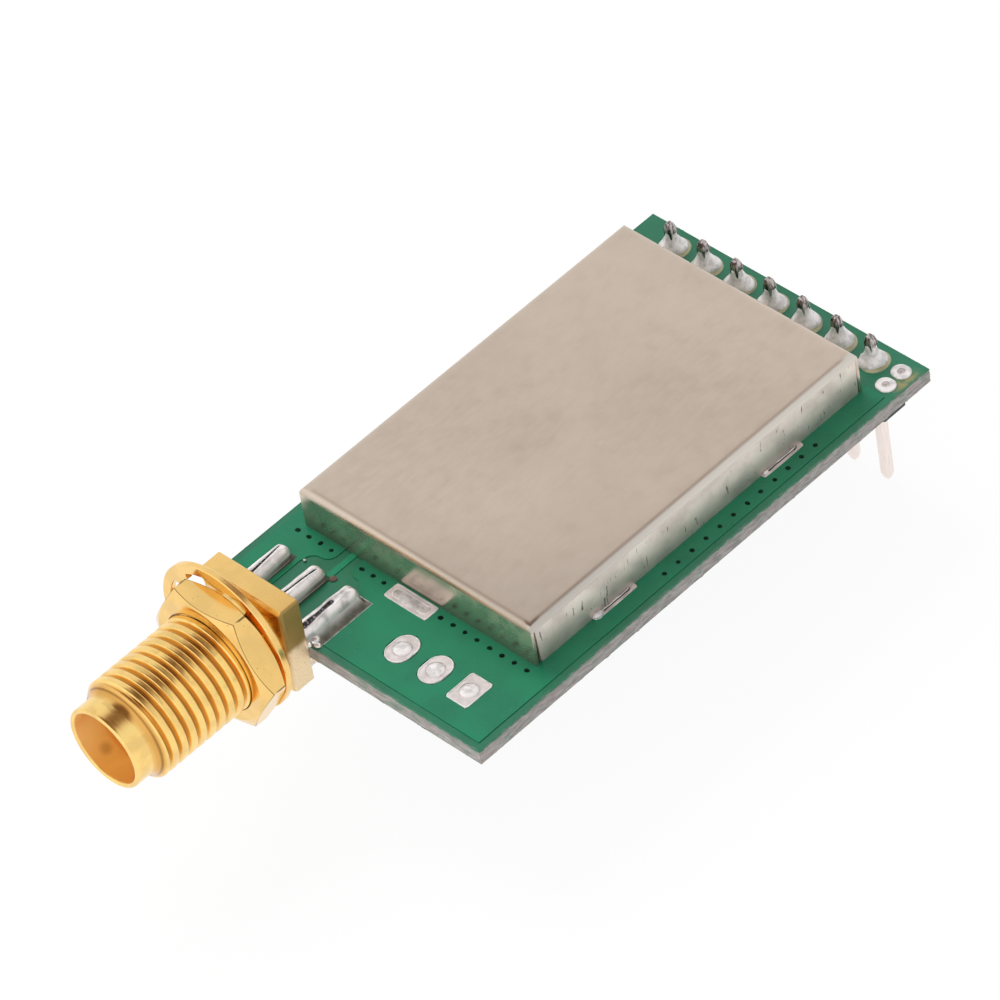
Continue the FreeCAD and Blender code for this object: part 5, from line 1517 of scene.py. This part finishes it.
    def stain(self):
        """Dried flux beyond the tail: a low dome over an uneven outline."""
        finish = moulded("flux_stain", (0.13, 0.085, 0.07), 0.35, 0.2 * MM)
        angle = angles(40)
        reach = 1 + 0.2 * wander(np.cos(angle), np.sin(angle), 0, 1.2, 210)
        line = np.stack([JACK_X + (0.78 + 0.2 * reach * np.cos(angle)) * MM,
                         BOARD_NEAR + (4.33 + 0.24 * reach * np.sin(angle)) * MM], -1)
        drop = dome(line, BOARD_TOP, COPPER_TOP + 0.02 * MM, COPPER_TOP + 0.08 * MM, 211,
                    0.05 * MM)
        piece("flux_stain", [drop], finish)


class RADIO_OT_header(bpy.types.Operator):
    """Header: plastic strip, pins and their solder cones"""

    bl_idname = "radio.header"
    bl_label = "Header"

    def execute(self, context):
        settings = context.scene.radio_header
        board = context.scene.radio_board
        dress("header_strip", moulded("black_strip", settings.strip_colour, 0.42, 0.6 * MM))
        metal = pin_metal(settings)
        cones = []
        rims = []
        for number, node in enumerate(PIN_NODES):
            low, high = corners(node)
            x = float(low[0] + high[0]) / 2
            y = float(low[1] + high[1]) / 2
            self.pin(node, x, y, float(low[2]), float(high[2]), settings, metal)
            cones.append(self.cone(x, y, settings, number))
            rims.append(self.flux(x, y, number))
        solder = bright_solder(board, "header_cone_solder", 0.36, 0.35)
        piece("header_cones", cones, solder, ["header_solder"], crease=50)
        flux = moulded("flux", (0.34, 0.33, 0.2), 0.25, 0.4 * MM)
        piece("header_flux", rims, flux)
        return {"FINISHED"}

    def pin(self, node, x, y, low, high, settings, metal):
        """Rounded squares stacked up the pin, smaller towards both of its tips."""
        half = settings.pin_side / 2
        tip = [(0, 0.12 * MM), (0.05 * MM, 0.18 * MM), (0.4 * MM, half - 0.01 * MM),
               (0.6 * MM, half)]
        levels = [(low + reach, side) for reach, side in tip]
        levels += [(high - reach, side) for reach, side in tip[::-1]]
        rings = []
        for z, side in levels:
            ring = rounded_box_ring(side, side, side * 0.25, 4)
            rings.append(points(x + ring[:, 0], y + ring[:, 1], z))
        piece(node + "_metal", [tube(np.stack(rings))], metal, [node], crease=30)

    def cone(self, x, y, settings, number):
        """Solder round a pin: a thin sleeve up the pin, exp(-share^2) lower down, that
        swells into two lobes on opposite sides by the cosine of twice the angle."""
        angle = angles(64)
        share = np.linspace(0, 1, 30)[:, None]
        random = np.random.default_rng(100 + number)
        lean = math.radians(44) + random.uniform(-0.3, 0.3)
        collar = 0.43 * MM
        sleeve = collar - 0.1 * MM * share
        belly = np.exp(-(share / (0.4 + 0.1 * random.random())) ** 2)
        lobe = 0.74 + 0.26 * np.cos(2 * (angle - lean)) + 0.06 * np.cos(angle - lean + 2)
        radius = sleeve + (settings.cone_radius - collar) * belly * lobe
        z = COPPER_TOP + share * (settings.cone_height - 0.05 * MM) + 0 * angle
        dent = wander(np.cos(angle), np.sin(angle), z / MM, 1.7, 110 + number)
        radius = radius + dent * 0.035 * MM * (1 - share * 0.5)
        ring = points(x + radius * np.cos(angle), y + radius * np.sin(angle), z)
        foot = ring[:1].copy()
        foot[..., 2] = COPPER_TOP - 0.03 * MM
        return tube(np.concatenate([foot, ring]))

    def flux(self, x, y, number):
        """A thin uneven skirt of flux round a solder cone."""
        angle = angles(48)
        outer = 0.93 * MM + 0.09 * MM * np.cos(angle - 0.3) + \
            wander(np.cos(angle), np.sin(angle), 0, 1.6, 130 + number) * 0.05 * MM
        return plate(round_line(x, y, outer, angle), round_line(x, y, 0.6 * MM, angle),
                     BOARD_TOP - 0.01 * MM, BOARD_TOP + 0.055 * MM, 0.05 * MM)


class RADIO_OT_inner_parts(bpy.types.Operator):
    """Chips and small parts under the can"""

    bl_idname = "radio.inner_parts"
    bl_label = "Inner parts"

    def execute(self, context):
        case = moulded("chip_case", (0.022, 0.022, 0.024), 0.5)
        crystal = plain_metal("crystal_can", (0.62, 0.6, 0.55), 0.25)
        ceramic = moulded("ceramic_chip", (0.33, 0.24, 0.15), 0.4, 0.2 * MM)
        for node in ("antenna_switch_chip", "power_amplifier_chip", "radio_transceiver_chip",
                     "microcontroller_chip", "voltage_regulator"):
            dress(node, case)
        for node in ("reference_oscillator", "clock_crystal"):
            dress(node, crystal)
        for node in ("filter_inductors", "chip_capacitors", "chip_resistors"):
            dress(node, ceramic)
        return {"FINISHED"}


class RADIO_OT_stage(bpy.types.Operator):
    """Floor, lamps, world and camera"""

    bl_idname = "radio.stage"
    bl_label = "Stage"

    def execute(self, context):
        settings = context.scene.radio_stage
        scene = context.scene
        scene.view_settings.view_transform = "Standard"
        self.floor()
        self.world(scene, settings)
        self.lamp("key_lamp", (-0.36, 0.04, 0.46), 0.34, settings.lamp_power)
        self.lamp("fill_lamp", (0.2, -0.45, 0.45), 0.5, settings.lamp_power * 0.25)
        self.lamp("front_lamp", (-0.12, -0.62, 0.16), 0.4, settings.lamp_power * 0.5)
        self.camera(scene, settings)
        return {"FINISHED"}

    def floor(self):
        """A wide level sheet under the pins' tips, shown white with a faint shadow."""
        level = PACKED_BOUNDS[0][2] - 0.01 * MM
        span = np.linspace(-1.5, 1.5, 9)
        verts = points(span[:, None], span, level).reshape(-1, 3)
        mesh = bpy.data.meshes.new("floor")
        mesh.from_pydata(verts.tolist(), [], grid_quads(9, 9, False, False).tolist())
        material = bpy.data.materials.new("white_floor")
        material.use_nodes = True
        tree = material.node_tree
        tree.nodes.clear()
        path = add_node(tree, "ShaderNodeLightPath").outputs
        seen = add_node(tree, "ShaderNodeMath", {"operation": "MAXIMUM"},
                        i0=path["Is Camera Ray"], i1=path["Is Glossy Ray"])
        share = add_node(tree, "ShaderNodeMath", {"operation": "MULTIPLY"},
                         i0=seen.outputs[0], i1=0.93)
        lit = add_node(tree, "ShaderNodeBsdfDiffuse", Color=(0.9, 0.9, 0.9, 1))
        glow = add_node(tree, "ShaderNodeEmission", Strength=1.0)
        mix = add_node(tree, "ShaderNodeMixShader", i0=share.outputs[0], i1=lit.outputs[0],
                       i2=glow.outputs[0])
        add_node(tree, "ShaderNodeOutputMaterial", Surface=mix.outputs[0])
        mesh.materials.append(material)
        floor = bpy.data.objects.new("floor", mesh)
        bpy.context.scene.collection.objects.link(floor)

    def world(self, scene, settings):
        """Even light from all round, seen as white by the camera. In the metal's
        reflections it is white up to half height and dark straight overhead, as in a
        white tent with an open top."""
        world = bpy.data.worlds.new("white_tent")
        scene.world = world
        world.use_nodes = True
        tree = world.node_tree
        tree.nodes.clear()
        place = add_node(tree, "ShaderNodeTexCoord").outputs["Generated"]
        split = add_node(tree, "ShaderNodeSeparateXYZ", i0=place).outputs
        path = add_node(tree, "ShaderNodeLightPath").outputs
        over = self.step(tree, split["Z"], 0.79, 0.93, 0, 1)
        front = self.step(tree, split["Y"], -0.3, -0.7, settings.tent_strength,
                          settings.tent_front)
        tent = self.mix(tree, over, front, settings.tent_top)
        glossy = self.mix(tree, path["Is Glossy Ray"], settings.world_strength, tent)
        seen = self.mix(tree, path["Is Camera Ray"], glossy, 1.0)
        share = self.mix(tree, path["Is Glossy Ray"], 0.0, over)
        tint = add_node(tree, "ShaderNodeMix", {"data_type": "RGBA"}, i0=share,
                        i6=(1, 1, 1, 1), i7=(*settings.top_colour, 1))
        background = add_node(tree, "ShaderNodeBackground", Strength=seen,
                              Color=tint.outputs[2])
        add_node(tree, "ShaderNodeOutputWorld", i0=background.outputs[0])

    def step(self, tree, value, start, end, low, high):
        """A smooth step of a value between two ends."""
        return add_node(tree, "ShaderNodeMapRange", {"interpolation_type": "SMOOTHSTEP"},
                        i0=value, i1=start, i2=end, i3=low, i4=high).outputs[0]

    def mix(self, tree, share, first, second):
        """Mix two numbers, each a number or an output."""
        return add_node(tree, "ShaderNodeMix", i0=share, i2=first, i3=second).outputs[0]

    def lamp(self, name, place, size, power):
        """A square soft lamp that faces the part, left out of reflections."""
        light = bpy.data.lights.new(name, "AREA")
        light.size = size
        light.energy = power
        lamp = bpy.data.objects.new(name, light)
        lamp.location = place
        aim = Vector((0, -0.02, 0.004)) - Vector(place)
        lamp.rotation_euler = aim.to_track_quat("-Z", "Y").to_euler()
        lamp.visible_glossy = False
        bpy.context.scene.collection.objects.link(lamp)

    def camera(self, scene, settings):
        """The photograph's view: place and three axes, from lines measured on it."""
        data = bpy.data.cameras.new("photo_camera")
        data.sensor_width = 36
        data.lens = settings.lens
        data.clip_start = 0.01
        camera = bpy.data.objects.new("photo_camera", data)
        right = Vector((0.71371, 0.68869, -0.12778))
        up = Vector((-0.42847, 0.57357, 0.69816))
        back = Vector((0.55411, -0.44353, 0.70444))
        turn = Matrix((right, up, back)).transposed()
        place = Vector((0.227162, -0.203535, 0.294274))
        camera.matrix_world = Matrix.Translation(place) @ turn.to_4x4()
        scene.collection.objects.link(camera)
        scene.camera = camera


class RADIO_PT_panel(bpy.types.Panel):
    """Buttons that make the pieces one group at a time"""

    bl_label = "Radio module"
    bl_idname = "RADIO_PT_panel"
    bl_space_type = "VIEW_3D"
    bl_region_type = "UI"
    bl_category = "Radio module"

    def draw(self, context):
        for operator in OPERATORS:
            self.layout.operator(operator.bl_idname)
        for name in SETTINGS:
            group = getattr(context.scene, name)
            box = self.layout.box()
            for prop in group.bl_rna.properties:
                if prop.identifier not in ("rna_type", "name"):
                    box.prop(group, prop.identifier)


SETTINGS = {
    "radio_board": BoardSettings,
    "radio_can": CanSettings,
    "radio_jack": JackSettings,
    "radio_header": HeaderSettings,
    "radio_stage": StageSettings,
}
OPERATORS = (RADIO_OT_board, RADIO_OT_pads, RADIO_OT_can, RADIO_OT_jack, RADIO_OT_nut,
             RADIO_OT_jack_solder, RADIO_OT_header, RADIO_OT_inner_parts, RADIO_OT_stage)


def register():
    """Make the settings, buttons and panel known to Blender."""
    for settings in SETTINGS.values():
        bpy.utils.register_class(settings)
    for name, settings in SETTINGS.items():
        setattr(bpy.types.Scene, name, bpy.props.PointerProperty(type=settings))
    for operator in OPERATORS:
        bpy.utils.register_class(operator)
    bpy.utils.register_class(RADIO_PT_panel)


def unregister():
    """Take the panel, buttons and settings out again, in the opposite order."""
    bpy.utils.unregister_class(RADIO_PT_panel)
    for operator in reversed(OPERATORS):
        bpy.utils.unregister_class(operator)
    for name, settings in SETTINGS.items():
        delattr(bpy.types.Scene, name)
        bpy.utils.unregister_class(settings)


def main():
    """Makes every piece in order."""
    register()
    for operator in OPERATORS:
        group, name = operator.bl_idname.split(".")
        getattr(getattr(bpy.ops, group), name)()


if __name__ == "__main__":
    main()
